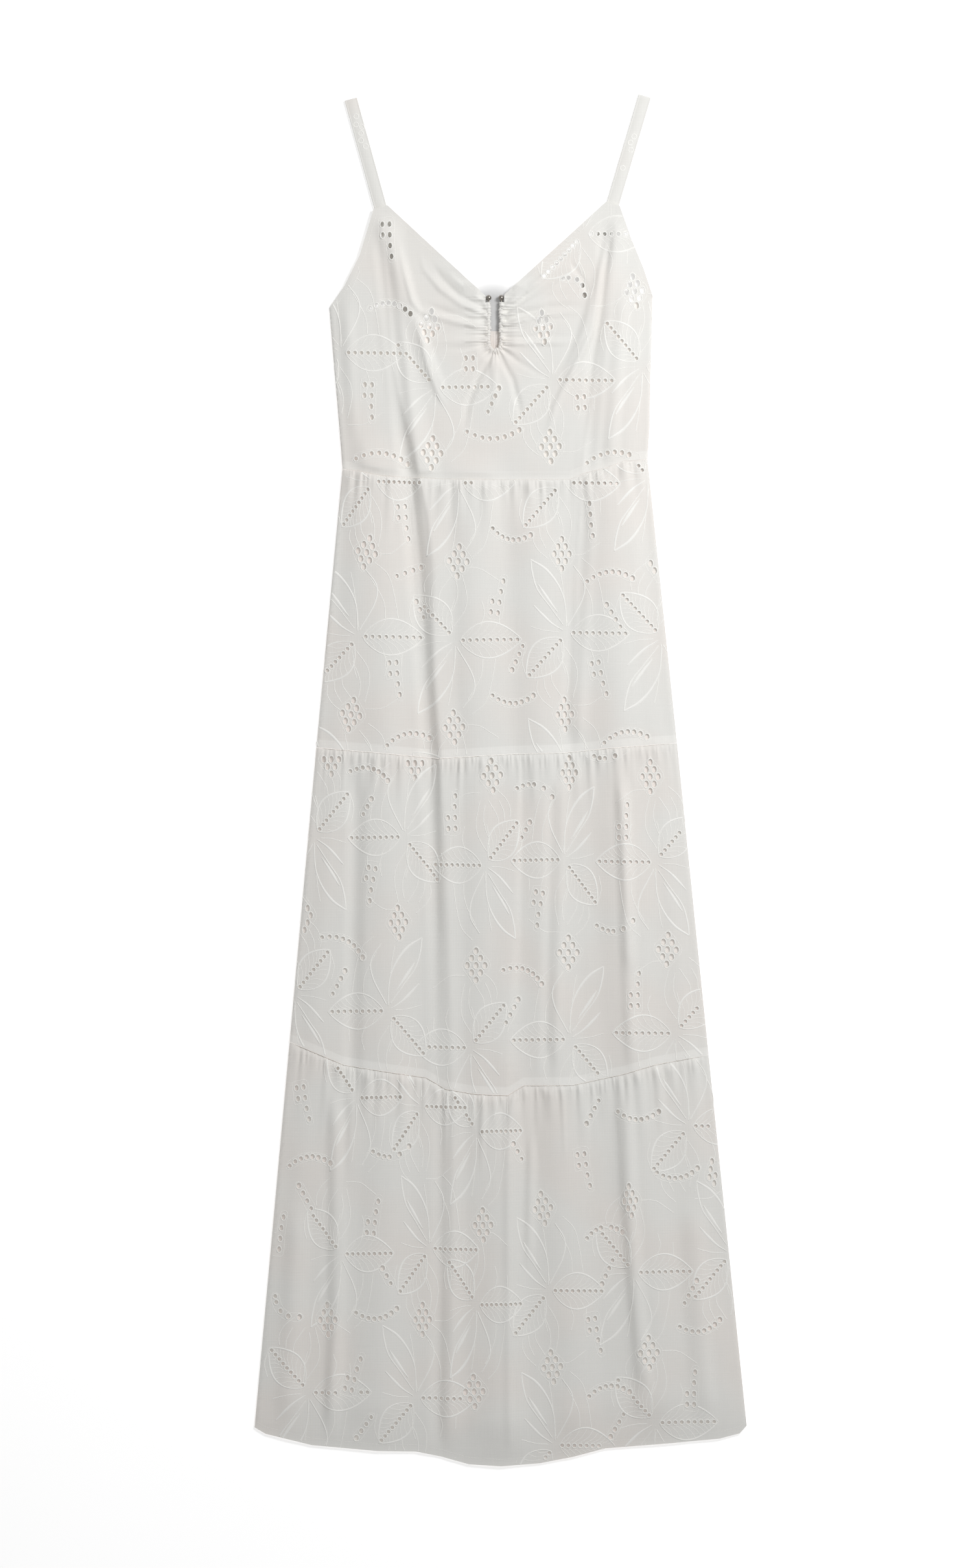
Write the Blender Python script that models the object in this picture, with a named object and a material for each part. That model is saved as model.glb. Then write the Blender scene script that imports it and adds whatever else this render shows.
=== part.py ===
"""White cotton dress with thin shoulder straps and three gathered skirt tiers, laid flat with its front up.

The cloth is broderie: white thread on white cotton, with groups of eyelets cut through the front.
X runs across the dress, +Y runs up to the straps and +Z points away from the surface that it lies on.
The back panels lie flat on that surface and the front panels lie on them, 0.3 mm apart.
All tables and sizes are in millimetres, and MM turns them to metres.
"""

import math

import bmesh
import bpy
from mathutils import Vector
from mathutils.geometry import delaunay_2d_cdt

MM = 0.001

# Cloth and the gaps between pieces
WALL = 1.5
SEAM_GAP = 0.36
LAYER_GAP = 0.3
FRONT_FLOOR = WALL + LAYER_GAP

# Shoulder straps
STRAP_WIDTH = 13.0
STRAP_CORNER = 7.3
STRAP_FOLD_STEPS = 6
STRAP_REACH_STEP = 0.05
STRAPS = (
    # side, base x, base y, top x, top y
    ("left", -122.4, 584.4, -152.8, 694.9),
    ("right", 114.5, 587.6, 147.3, 698.2),
)

# Keyhole under the neckline, bound by a ruched casing with a bent wire inside
SLOT_X = -5.8
SLOT_HALF = 3.9
SLOT_FOOT = 444.9
CASING_RADIUS = 2.5
CASING_RUCHE = 0.35
CASING_BORE = 1.1
CASING_TOP = 487.4
CASING_GATHERS = 26
CASING_SIDES = 8
WIRE_RADIUS = 0.75
WIRE_SIDES = 6
WIRE_BENDS = 10
BALL_RADIUS = 2.85
BALL_RINGS = 6
BALL_Y = 491.9
BALL_FIRST = 0.6
LEG = SLOT_HALF + CASING_RADIUS
SLOT_EDGE = LEG + CASING_RADIUS + LAYER_GAP
CASING_Z = FRONT_FLOOR + CASING_RADIUS

# The two sides of the dress, from the underarms to the hem
SIDES = (
    # height, left edge, right edge
    (494.0, -175.4, 155.2),
    (481.8, -174.8, 154.9),
    (418.0, -169.5, 153.2),
    (360.0, -164.5, 151.9),
    (322.0, -161.6, 150.4),
    (-662.0, -251.1, 251.1),
)

# Armholes from the strap to the underarm, after the strap's own corner
LEFT_ARMHOLE = ((-143.7, 535.2), (-159.1, 504.3), (-174.8, 481.8))
RIGHT_ARMHOLE = ((133.2, 552.3), (145.8, 522.0), (155.2, 494.0))
UNDERARM = 494.0
NECK_LEFT_FOOT = 494.0
NECK_RIGHT_FOOT = 495.3
NECK_FOOT_SHIFT = 0.6
NECK_SHARES = (0.25, 0.5, 0.75)
SIDE_POINT_ROOM = 4.0

# Top edge of the back, seen only through the keyhole
BACK_TOP = (
    # across, height
    (-174.8, 481.8),
    (-90.0, 464.0),
    (-5.0, 458.0),
    (82.0, 467.0),
    (155.2, 494.0),
)

# Seams and hem, as lines from the left side to the right side
WAIST = (
    # across, height
    (-161.2, 317.4),
    (-143.7, 314.8),
    (-121.9, 310.1),
    (-60.0, 307.0),
    (-6.0, 306.2),
    (70.6, 306.6),
    (85.8, 313.0),
    (106.9, 318.1),
    (125.4, 325.0),
    (149.9, 327.3),
)
UPPER_SEAM = (
    (-187.9, 33.1),
    (-124.5, 27.8),
    (-63.7, 22.1),
    (11.7, 26.5),
    (64.6, 27.8),
    (108.3, 32.4),
    (180.0, 37.7),
)
LOWER_SEAM = (
    (-215.2, -267.2),
    (-159.6, -290.6),
    (-119.2, -296.9),
    (-75.6, -303.5),
    (-56.4, -315.0),
    (-26.0, -320.1),
    (7.1, -321.4),
    (23.6, -311.5),
    (73.9, -311.1),
    (123.5, -300.2),
    (157.2, -290.3),
    (212.2, -280.4),
)
HEM = (
    (-251.0, -660.4),
    (-239.6, -667.0),
    (-192.6, -678.5),
    (-125.8, -684.5),
    (-86.2, -685.1),
    (-59.7, -690.4),
    (-32.6, -698.0),
    (0.5, -700.1),
    (40.1, -697.0),
    (73.9, -690.4),
    (106.9, -681.8),
    (173.7, -676.5),
    (223.3, -671.9),
    (243.8, -666.5),
    (251.0, -658.6),
)

# Skirt tiers: how many gathers hang from each top seam, and how deep and long they are
TIERS = (
    # name, top line, bottom line, gathers, gather height, gather length, columns below the gathers
    ("tier_1", WAIST, UPPER_SEAM, 22, 3.4, 66.0, 18),
    ("tier_2", UPPER_SEAM, LOWER_SEAM, 44, 2.7, 56.0, 20),
    ("tier_3", LOWER_SEAM, HEM, 38, 3.5, 80.0, 22),
)
GATHER_ROWS = (
    # share of the gathers' length below the seam, whether the row has the valleys too
    (0.18, True),
    (0.46, True),
    (0.95, False),
)
GATHER_ROOM = 0.25
GATHER_PLACE_SHIFTS = ((0.27, 2.4), (0.15, 5.3))
GATHER_HEIGHT_SHIFT = (0.42, 1.9, 0.8)
GATHER_LENGTH_SHIFT = (0.38, 2.7)
WIDEST_GATHER = 1.2
GATHER_AT_SEAM = 0.3
GATHER_RISE = 11.0
GATHER_SIDE_SHARE = 0.03
BELOW_GATHERS = 12.0
LONG_ROW_STEP = 50.0
SEAM_STEP = 15.0

# The cloth of the front lifts a little off the back, and more at its folds
PUFF = 3.4
PUFF_WIDTH = 26.0
FOLDS = (
    # top y, bottom y, top x, middle x, bottom x, left half width, right half width, height
    (330, -760, -82, -66, -64, 15, 13, -6.5),
    (575, 290, -124, -110, -80, 14, 12, -4.5),
    (575, 10, 110, 81, 68, 12, 12, -4.6),
    (360, -760, -128, -118, -128, 42, 40, 6.2),
    (340, -760, -34, -16, -6, 40, 44, 7.0),
    (300, -760, 34, 52, 84, 34, 36, 5.2),
    (330, -760, 112, 132, 170, 36, 40, 6.4),
    (552, 380, -106, -86, -54, 16, 10, 4.6),
    (552, 398, 106, 92, 60, 10, 16, 5.0),
    (500, 330, -160, -156, -150, 9, 12, 3.4),
    (520, 300, 128, 118, 110, 12, 12, 3.8),
    (30, -330, 16, 14, 4, 24, 6, 3.6),
    (20, -330, -146, -150, -152, 12, 14, -4.0),
    (10, -320, 56, 52, 48, 12, 9, -4.2),
    (20, -310, 122, 128, 134, 10, 12, 4.2),
    (-310, -760, -66, -66, -68, 10, 11, 6.4),
    (-320, -760, 9, 10, 11, 30, 7, 4.4),
    (-305, -700, -170, -168, -176, 11, 13, 5.6),
    (-345, -510, 31, 30, 28, 7, 8, 4.6),
    (-300, -640, 128, 134, 150, 11, 12, 5.0),
    (-420, -760, 196, 206, 222, 20, 16, 4.8),
    (-420, -760, -208, -214, -226, 16, 20, 4.6),
)
FOLD_FADE = 46.0
SIDE_FADE = 12.0
FOLD_POINT_STEP = 34.0
FOLD_ROOM = 0.6
POINT_SPACING = 6.4
OUTLINE_ROOM = 1.5
CREASE_REACH = 1.5 * FOLD_POINT_STEP
NARROW_FOLD = 16.0

# Ruching around the keyhole: short gathers at the casing and longer folds beyond them
LEG_GATHERS = 6
BEND_GATHERS = 4
SLOT_GATHERS = 2 * LEG_GATHERS + BEND_GATHERS
SLOT_GATHER_HEIGHT = 2.3
SLOT_GATHER_LENGTH = 24.0
SLOT_FOLDS = 7
SLOT_FOLD_HEIGHT = 4.2
SLOT_FOLD_LENGTH = 84.0
SLOT_GATHER_FADE = 2.2
SLOT_FOLD_START = 14.0
PUFF_START = 12.0
FOLD_START = 30.0
SWELL_EDGES = (-250.0, 250.0)
SLOT_RING_ROOM = 0.3
SLOT_RINGS = (
    # distance from the casing, points on the ring
    (7.0, 2 * SLOT_GATHERS),
    (20.0, 2 * SLOT_FOLDS + 6),
    (38.0, 2 * SLOT_FOLDS),
    (62.0, 2 * SLOT_FOLDS),
)

# Plain rows of points over the bodice, and steps along the waist
BODICE_CORNER = (-172.0, 322.0)
BODICE_STEP = (17.5, 22.0)
BODICE_ROWS = 12
BODICE_COLUMNS = 20
BODICE_ROOM = 1.5
WAIST_STEPS = 20

# Eyelets cut through the front
EYELET_WIDE = 5.0
EYELET_HIGH = 6.6
EYELET_SIDES = 6
SQUEEZED_EYELET = 0.6
EYELET_MARGIN = 2.2
DIAMOND_ROWS = (1, 2, 3, 2, 1)
DIAMOND_STEP_X = 9.0
DIAMOND_STEP_Y = 7.4
DIAMONDS = {
    # panel: across, height, share of full width, lean in degrees
    "front_bodice": (
        (-72.7, 463.0, 0.95, -8),
        (43.3, 461.5, 0.85, 6),
        (-69.9, 333.4, 1.0, -3),
        (50.7, 340.0, 1.0, 2),
        (136.5, 498.5, 0.9, 8),
    ),
    "tier_1_front": (
        (-136.4, 231.9, 1.0, -12),
        (-43.2, 222.9, 1.0, -4),
        (62.3, 230.5, 0.85, 0),
        (-152.4, 66.8, 1.0, -10),
        (-47.5, 53.6, 1.0, 3),
        (65.4, 66.8, 0.8, 2),
    ),
    "tier_2_front": (
        (-172.5, 21.0, 0.85, 0),
        (-87.3, 17.0, 0.8, 0),
        (-8.7, 4.6, 0.95, 4),
        (69.9, 7.5, 0.75, 0),
        (152.5, 3.3, 0.9, 0),
        (-104.2, -145.2, 0.85, 3),
        (-25.0, -188.9, 1.0, 0),
        (69.0, -175.8, 1.0, 0),
        (170.0, -172.9, 1.0, -3),
    ),
    "tier_3_front": (
        (-17.9, -453.5, 0.9, 2),
        (43.1, -436.8, 0.9, 8),
        (132.0, -428.5, 0.65, 6),
        (219.0, -403.5, 0.7, 14),
        (-176.1, -550.2, 0.85, 2),
        (-79.6, -550.2, 0.8, 0),
        (-26.9, -623.4, 1.0, 3),
        (52.7, -598.5, 0.95, 6),
        (151.0, -583.5, 0.95, 2),
    ),
}
FLAG_EYELET_WIDE = 4.6
FLAG_EYELET_HIGH = 6.0
FLAG_EYELET_SIDES = 4
FLAG_STEP_X = 7.2
FLAG_STEP_Y = 11.0
FLAG_PLACES = ((-0.5, 1.5), (0.5, 1.5), (-0.5, 0.5), (0.5, 0.5), (0.5, -0.5), (0.65, -1.5))
FLAGS = {
    # panel: across, height, tail down (1) or up (-1), lean in degrees
    "front_bodice": ((-135.5, 386.5, 1, -2), (-116.5, 550.0, 1, 2)),
    "tier_1_front": ((-100.1, 262.0, 1, 4), (99.7, 103.0, 1, 12)),
    "tier_2_front": ((-50.3, -33.0, -1, 2), (36.0, -131.0, 1, -12)),
    "tier_3_front": ((84.0, -398.0, 1, 8), (95.0, -566.0, 1, 8)),
}

# Flat colours: off-white cotton and polished metal, shaded smooth but for edges past this angle
SMOOTH_DEGREES = 24.0
COTTON = (0.82, 0.81, 0.78)
COTTON_INSIDE = (0.78, 0.76, 0.73)
METAL = (0.72, 0.71, 0.69)
COTTON_ROUGHNESS = 0.9
METAL_ROUGHNESS = 0.2


def on_line(line, x):
    """The height of a seam line at x, straight between its points."""
    for (x0, y0), (x1, y1) in zip(line, line[1:]):
        if x <= x1 or (x1, y1) == line[-1]:
            return y0 + (y1 - y0) * (x - x0) / (x1 - x0)


def side_edges(y):
    """The left and right edge of the dress at a height."""
    for (y0, left0, right0), (y1, left1, right1) in zip(SIDES, SIDES[1:]):
        if y >= y1 or y1 == SIDES[-1][0]:
            share = (y - y0) / (y1 - y0)
            return left0 + (left1 - left0) * share, right0 + (right1 - right0) * share


def smooth(value):
    """0 below 0, 1 above 1, and an S-curve between."""
    value = min(max(value, 0.0), 1.0)
    return value * value * (3 - 2 * value)


def fold_middle(fold, y):
    """Where the middle of a fold lies at a height, on a curve through its three points."""
    top_y, bottom_y, top_x, middle_x, bottom_x = fold[:5]
    t = (top_y - y) / (top_y - bottom_y)
    return top_x * (1 - t) * (1 - 2 * t) + middle_x * 4 * t * (1 - t) + bottom_x * t * (2 * t - 1)


def fold_lift(x, y):
    """How far the long folds lift the front at a point."""
    lift = 0.0
    for fold in FOLDS:
        top_y, bottom_y = fold[:2]
        left_half, right_half, height = fold[5:]
        if not bottom_y < y < top_y:
            continue
        across = x - fold_middle(fold, y)
        across /= right_half if across > 0 else left_half
        if abs(across) < 1:
            ends = smooth((top_y - y) / FOLD_FADE) * smooth((y - bottom_y) / FOLD_FADE)
            lift += height * ends * 0.5 * (1 + math.cos(math.pi * across))
    return lift


def slot_place(x, y):
    """The distance of a point from the keyhole's cut edge, and how many gathers along that edge it lies."""
    if y > SLOT_FOOT:
        away = abs(x - SLOT_X) - SLOT_EDGE
        down = LEG_GATHERS * min(1.0, (NECK_LEFT_FOOT - y) / (NECK_LEFT_FOOT - SLOT_FOOT))
        along = down if x < SLOT_X else SLOT_GATHERS - down
    else:
        away = math.hypot(x - SLOT_X, y - SLOT_FOOT) - SLOT_EDGE
        angle = math.atan2(y - SLOT_FOOT, x - SLOT_X)
        along = LEG_GATHERS + BEND_GATHERS * (math.pi + angle) / math.pi
    return max(away, 0.0), along


def slot_point(away, along):
    """The point at a distance from the keyhole's cut edge, some gathers along it."""
    across = SLOT_EDGE + away
    if along < LEG_GATHERS:
        return SLOT_X - across, NECK_LEFT_FOOT - (NECK_LEFT_FOOT - SLOT_FOOT) * along / LEG_GATHERS
    if along > SLOT_GATHERS - LEG_GATHERS:
        back = (SLOT_GATHERS - along) / LEG_GATHERS
        return SLOT_X + across, NECK_LEFT_FOOT - (NECK_LEFT_FOOT - SLOT_FOOT) * back
    angle = math.pi * (1 + (along - LEG_GATHERS) / BEND_GATHERS)
    return SLOT_X + across * math.cos(angle), SLOT_FOOT + across * math.sin(angle)


def slot_lift(x, y):
    """The ruching that spreads from the keyhole."""
    away, along = slot_place(x, y)
    near = math.exp(-SLOT_GATHER_FADE * away / SLOT_GATHER_LENGTH)
    far = smooth(away / SLOT_FOLD_START) * (1 - smooth(away / SLOT_FOLD_LENGTH))
    short = 0.5 - 0.5 * math.cos(2 * math.pi * along)
    long = 0.5 - 0.5 * math.cos(2 * math.pi * SLOT_FOLDS * along / SLOT_GATHERS)
    return SLOT_GATHER_HEIGHT * near * short + SLOT_FOLD_HEIGHT * far * long


def front_lift(x, y, edges):
    """The height of the front above its flat lie: a soft swell, and the folds on it."""
    left, right = edges
    inside = min(x - left, right - x)
    return max(PUFF * smooth(inside / PUFF_WIDTH) + fold_lift(x, y) * smooth(inside / SIDE_FADE), 0.0)


def bodice_lift(x, y):
    swell = front_lift(x, y, SWELL_EDGES) - PUFF
    left, right = side_edges(min(y, UNDERARM))
    inside = min(x - left, right - x)
    rim = smooth(inside / PUFF_WIDTH)
    away, _ = slot_place(x, y)
    quiet = smooth(away / FOLD_START)
    return max((PUFF + swell * quiet) * rim * smooth(away / PUFF_START) + slot_lift(x, y), 0.0)


def gather_edges(count):
    """The valleys between gathers as shares of the width, unevenly spaced."""
    places = [0.0]
    for step in range(1, count):
        shift = sum(size * math.sin(turn * step) for size, turn in GATHER_PLACE_SHIFTS)
        places.append((step + shift) / count)
    places.append(1.0)
    return places


def gather_lift(places, share, below, height, length):
    """One gathered edge's lift, at a share of the width and a distance below the seam."""
    for index, (start, end) in enumerate(zip(places, places[1:])):
        if share <= end:
            break
    phase = (share - start) / (end - start)
    size, turn, first = GATHER_HEIGHT_SHIFT
    own_height = height * (1 + size * math.sin(turn * index + first))
    own_height *= min((end - start) * (len(places) - 1), WIDEST_GATHER)
    size, turn = GATHER_LENGTH_SHIFT
    own_length = length * (1 + size * math.sin(turn * index))
    rise = GATHER_AT_SEAM + (1 - GATHER_AT_SEAM) * smooth(below / GATHER_RISE)
    fade = rise * (1 - smooth(below / own_length))
    return own_height * fade * (1 - abs(2 * phase - 1))


def ellipse(x, y, wide, high, sides):
    """The corners of one eyelet: a diamond where it has four, and otherwise with level top and bottom edges."""
    corners = []
    for step in range(sides):
        angle = 2 * math.pi * (step + 0.5 * (sides == EYELET_SIDES)) / sides
        corners.append((x + 0.5 * wide * math.cos(angle), y + 0.5 * high * math.sin(angle)))
    return corners


def leaning(x, y, dx, dy, degrees):
    """A point at dx, dy from x, y, after both turn by some degrees."""
    turn = math.radians(degrees)
    return (
        x + dx * math.cos(turn) - dy * math.sin(turn),
        y + dx * math.sin(turn) + dy * math.cos(turn),
    )


def diamond_eyelets(x, y, squeeze, lean):
    """Nine eyelets in rows of 1, 2, 3, 2 and 1."""
    eyelets = []
    for row, count in enumerate(DIAMOND_ROWS):
        for place in range(count):
            dx = (place - (count - 1) / 2) * DIAMOND_STEP_X * squeeze
            dy = (2 - row) * DIAMOND_STEP_Y
            centre = leaning(x, y, dx, dy, lean)
            wide = EYELET_WIDE * (1 - SQUEEZED_EYELET + SQUEEZED_EYELET * squeeze)
            eyelets.append(ellipse(*centre, wide, EYELET_HIGH, EYELET_SIDES))
    return eyelets


def flag_eyelets(x, y, tail, lean):
    """Six eyelets: a block of four, and two more in line with its right side."""
    eyelets = []
    for dx, dy in FLAG_PLACES:
        centre = leaning(x, y, dx * FLAG_STEP_X, tail * dy * FLAG_STEP_Y, lean)
        eyelets.append(ellipse(*centre, FLAG_EYELET_WIDE, FLAG_EYELET_HIGH, FLAG_EYELET_SIDES))
    return eyelets


def inside_loop(loop, x, y):
    """Whether a point lies inside a closed outline."""
    inside = False
    for (x0, y0), (x1, y1) in zip(loop, loop[1:] + loop[:1]):
        if (y0 > y) != (y1 > y) and x < x0 + (x1 - x0) * (y - y0) / (y1 - y0):
            inside = not inside
    return inside


def distance_to_loop(loop, x, y):
    """The distance from a point to the nearest stretch of a closed outline."""
    nearest = 1e9
    point = Vector((x, y))
    for start, end in zip(loop, loop[1:] + loop[:1]):
        start, end = Vector(start), Vector(end)
        run = end - start
        share = min(max((point - start).dot(run) / run.length_squared, 0.0), 1.0)
        nearest = min(nearest, (point - start - run * share).length)
    return nearest


def panel_eyelets(name, loop):
    """The eyelets of a panel that lie whole inside it."""
    eyelets = []
    for place in DIAMONDS.get(name, ()):
        eyelets += diamond_eyelets(*place)
    for place in FLAGS.get(name, ()):
        eyelets += flag_eyelets(*place)
    whole = []
    for eyelet in eyelets:
        clear = all(
            inside_loop(loop, x, y) and distance_to_loop(loop, x, y) > EYELET_MARGIN for x, y in eyelet
        )
        if clear:
            whole.append(eyelet)
    return whole


def fold_points():
    """Points along the crest and the two feet of each narrow fold, each with its line's name."""
    points = []
    for number, fold in enumerate(FOLDS):
        top_y, bottom_y = fold[:2]
        left_half, right_half = fold[5:7]
        if min(left_half, right_half) > NARROW_FOLD:
            continue
        rows = round((top_y - bottom_y) / FOLD_POINT_STEP)
        for lane in (0.0, -left_half, right_half):
            for row in range(1, rows):
                y = top_y - (top_y - bottom_y) * row / rows
                points.append((fold_middle(fold, y) + lane, y, FOLD_ROOM, (number, lane)))
    return points


def fold_crossings(line):
    """Where the crest and the feet of each narrow fold cross a seam or the hem."""
    places = []
    for fold in FOLDS:
        top_y, bottom_y = fold[:2]
        left_half, right_half = fold[5:7]
        y = on_line(line, fold[3])
        if min(left_half, right_half) <= NARROW_FOLD and bottom_y < y < top_y:
            middle = fold_middle(fold, y)
            places += [middle - left_half, middle, middle + right_half]
    return places


def near_eyelet(eyelets, start, end):
    """Whether a straight line passes over or close by an eyelet."""
    start, end = Vector(start), Vector(end)
    run = end - start
    for eyelet in eyelets:
        middle = sum((Vector(corner) for corner in eyelet), Vector((0, 0))) / len(eyelet)
        share = min(max((middle - start).dot(run) / run.length_squared, 0.0), 1.0)
        if (middle - start - run * share).length < EYELET_HIGH:
            return True
    return False


def spread_points(loop, eyelets, wanted, spacing):
    """The wanted inner points that keep clear of the outline, of the eyelets and of each other.

    Also the pairs of them that a crease joins.
    """
    kept = []
    creases = []
    last_on_line = {}
    corners = [corner for eyelet in eyelets for corner in eyelet]
    for x, y, room, line in wanted:
        from_edge = max(0.5 * spacing * room, OUTLINE_ROOM)
        if not inside_loop(loop, x, y) or distance_to_loop(loop, x, y) < from_edge:
            continue
        if any(math.hypot(x - cx, y - cy) < 0.5 * spacing for cx, cy in corners):
            continue
        if any(inside_loop(eyelet, x, y) for eyelet in eyelets):
            continue
        if any(math.hypot(x - kx, y - ky) < spacing * room for kx, ky in kept):
            continue
        if line in last_on_line:
            before = last_on_line[line]
            far = math.hypot(x - kept[before][0], y - kept[before][1])
            if far < CREASE_REACH and not near_eyelet(eyelets, kept[before], (x, y)):
                creases.append((before, len(kept)))
        if line is not None:
            last_on_line[line] = len(kept)
        kept.append((x, y))
    return kept, creases


def cloth_object(name, loop, eyelets, inner, creases, under, colour, part_of):
    """A wall of cloth over a flat outline. under(x, y) is the height of its lower side."""
    points = list(loop)
    edges = [(i, (i + 1) % len(loop)) for i in range(len(loop))]
    for eyelet in eyelets:
        first = len(points)
        points += eyelet
        edges += [(first + i, first + (i + 1) % len(eyelet)) for i in range(len(eyelet))]
    group = [-1] * len(loop)
    for number, eyelet in enumerate(eyelets):
        group += [number] * len(eyelet)
    edges += [(len(points) + start, len(points) + end) for start, end in creases]
    points += inner
    group += [-1] * len(inner)
    corners, _, faces, sources, _, _ = delaunay_2d_cdt([Vector(p) for p in points], edges, [], 1, 1e-5)
    mesh = bmesh.new()
    heights = [under(corner.x, corner.y) for corner in corners]
    low = [mesh.verts.new((c.x * MM, c.y * MM, h * MM)) for c, h in zip(corners, heights)]
    top = [mesh.verts.new((c.x * MM, c.y * MM, (h + WALL) * MM)) for c, h in zip(corners, heights)]
    for face in faces:
        owners = {group[sources[corner][0]] if sources[corner] else -1 for corner in face}
        if len(owners) == 1 and owners != {-1}:
            continue
        mesh.faces.new([top[corner] for corner in face])
        mesh.faces.new([low[corner] for corner in reversed(face)])
    twin = {vert: low[index] for index, vert in enumerate(top)}
    upper = set(top)
    rims = [edge for edge in mesh.edges if edge.is_boundary and edge.verts[0] in upper]
    for edge in rims:
        loop_here = edge.link_loops[0]
        start, end = loop_here.vert, loop_here.link_loop_next.vert
        mesh.faces.new((end, start, twin[start], twin[end]))
    loose = [vert for vert in mesh.verts if not vert.link_faces]
    bmesh.ops.delete(mesh, geom=loose, context="VERTS")
    return finished(name, mesh, colour, COTTON_ROUGHNESS, 0.0, part_of)


def finished(name, mesh, colour, roughness, metallic, part_of):
    """Turns a bmesh into a named object with its own material, under the dress's empty."""
    bmesh.ops.recalc_face_normals(mesh, faces=mesh.faces)
    bmesh.ops.triangulate(mesh, faces=[face for face in mesh.faces if len(face.verts) > 3])
    data = bpy.data.meshes.new(name)
    mesh.to_mesh(data)
    mesh.free()
    data.shade_smooth()
    data.set_sharp_from_angle(angle=math.radians(SMOOTH_DEGREES))
    material = bpy.data.materials.new(name)
    material.use_nodes = True
    shader = material.node_tree.nodes["Principled BSDF"]
    shader.inputs["Base Color"].default_value = (*colour, 1.0)
    shader.inputs["Roughness"].default_value = roughness
    shader.inputs["Metallic"].default_value = metallic
    data.materials.append(material)
    thing = bpy.data.objects.new(name, data)
    bpy.context.collection.objects.link(thing)
    thing.parent = part_of
    return thing


def line_points(line, shift, extra):
    """A seam line's own points and some between them, moved up or down, with no two closer than 1 mm."""
    first, last = line[0][0], line[-1][0]
    places = [x for x, _ in line]
    for x in sorted(extra):
        if first < x < last and all(abs(x - place) > 1.0 for place in places):
            places.append(x)
    return [(x, on_line(line, x) + shift) for x in sorted(places)]


def side_points(side, armhole):
    """The points of the side table between the waist and an armhole, from the bottom up. side is 0 or 1."""
    top = armhole[-1][1] - SIDE_POINT_ROOM
    bottom = WAIST[-side][1] + SIDE_POINT_ROOM
    return [(row[1 + side], row[0]) for row in reversed(SIDES) if bottom < row[0] < top]


def tier_outline(top_line, bottom_line, top_extra, low_extra, hem):
    """The outline of a tier, counterclockwise from its lower left corner."""
    lower = line_points(bottom_line, 0.0 if hem else SEAM_GAP / 2, low_extra)
    upper = line_points(top_line, -SEAM_GAP / 2, top_extra)
    return lower + upper[::-1]


def tier_row_point(top_line, bottom_line, share, down):
    """The point of a tier at a share of its width and a share of its depth."""
    x_top = top_line[0][0] + share * (top_line[-1][0] - top_line[0][0])
    x_low = bottom_line[0][0] + share * (bottom_line[-1][0] - bottom_line[0][0])
    x = x_top + (x_low - x_top) * down
    return x, on_line(top_line, x_top) * (1 - down) + on_line(bottom_line, x_low) * down


def make_tier(name, top_line, bottom_line, count, height, length, columns, dress):
    """The front and the back of one skirt tier."""
    places = gather_edges(count)
    middles = [(start + end) / 2 for start, end in zip(places, places[1:])]
    fine = sorted(places + middles)
    width = top_line[-1][0] - top_line[0][0]
    top_extra = [top_line[0][0] + share * width for share in fine] + fold_crossings(top_line)
    is_hem = bottom_line is HEM
    steps = round((bottom_line[-1][0] - bottom_line[0][0]) / SEAM_STEP)
    low_extra = [bottom_line[0][0] + SEAM_STEP * step for step in range(1, steps)]
    low_extra += fold_crossings(bottom_line)
    loop = tier_outline(top_line, bottom_line, top_extra, low_extra, is_hem)
    depth = on_line(top_line, 0.0) - on_line(bottom_line, 0.0)

    def lift(x, y):
        share = min(max((x - side_edges(y)[0]) / (side_edges(y)[1] - side_edges(y)[0]), 0.0), 1.0)
        below = on_line(top_line, x) - y
        gathers = gather_lift(places, share, below, height, length)
        rim = smooth(min(share, 1 - share) / GATHER_SIDE_SHARE)
        return FRONT_FLOOR + front_lift(x, y, side_edges(y)) + gathers * rim

    wanted = []
    for row, with_valleys in GATHER_ROWS:
        for share in fine if with_valleys else middles:
            point = tier_row_point(top_line, bottom_line, share, row * length / depth)
            wanted.append((*point, GATHER_ROOM, None))
    wanted += fold_points()
    first = (length + BELOW_GATHERS) / depth
    rows = round((depth - length) / LONG_ROW_STEP)
    for row in range(rows):
        down = first + (1 - first) * row / rows
        for column in range(columns + 1):
            share = (column + 0.5 * (row % 2)) / columns
            wanted.append((*tier_row_point(top_line, bottom_line, share, down), 1.0, None))
    eyelets = panel_eyelets(name + "_front", loop)
    inner, creases = spread_points(loop, eyelets, wanted, POINT_SPACING)
    cloth_object(name + "_front", loop, eyelets, inner, creases, lift, COTTON, dress)
    back_loop = tier_outline(top_line, bottom_line, [], [], is_hem)
    cloth_object(name + "_back", back_loop, [], [], [], lambda x, y: 0.0, COTTON, dress)


def strap_axes(row):
    """The base, direction, sideways direction and length of a strap's front run."""
    _, base_x, base_y, top_x, top_y = row
    base, top = Vector((base_x, base_y)), Vector((top_x, top_y))
    along = (top - base).normalized()
    return base, along, Vector((along.y, -along.x)), (top - base).length


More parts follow.
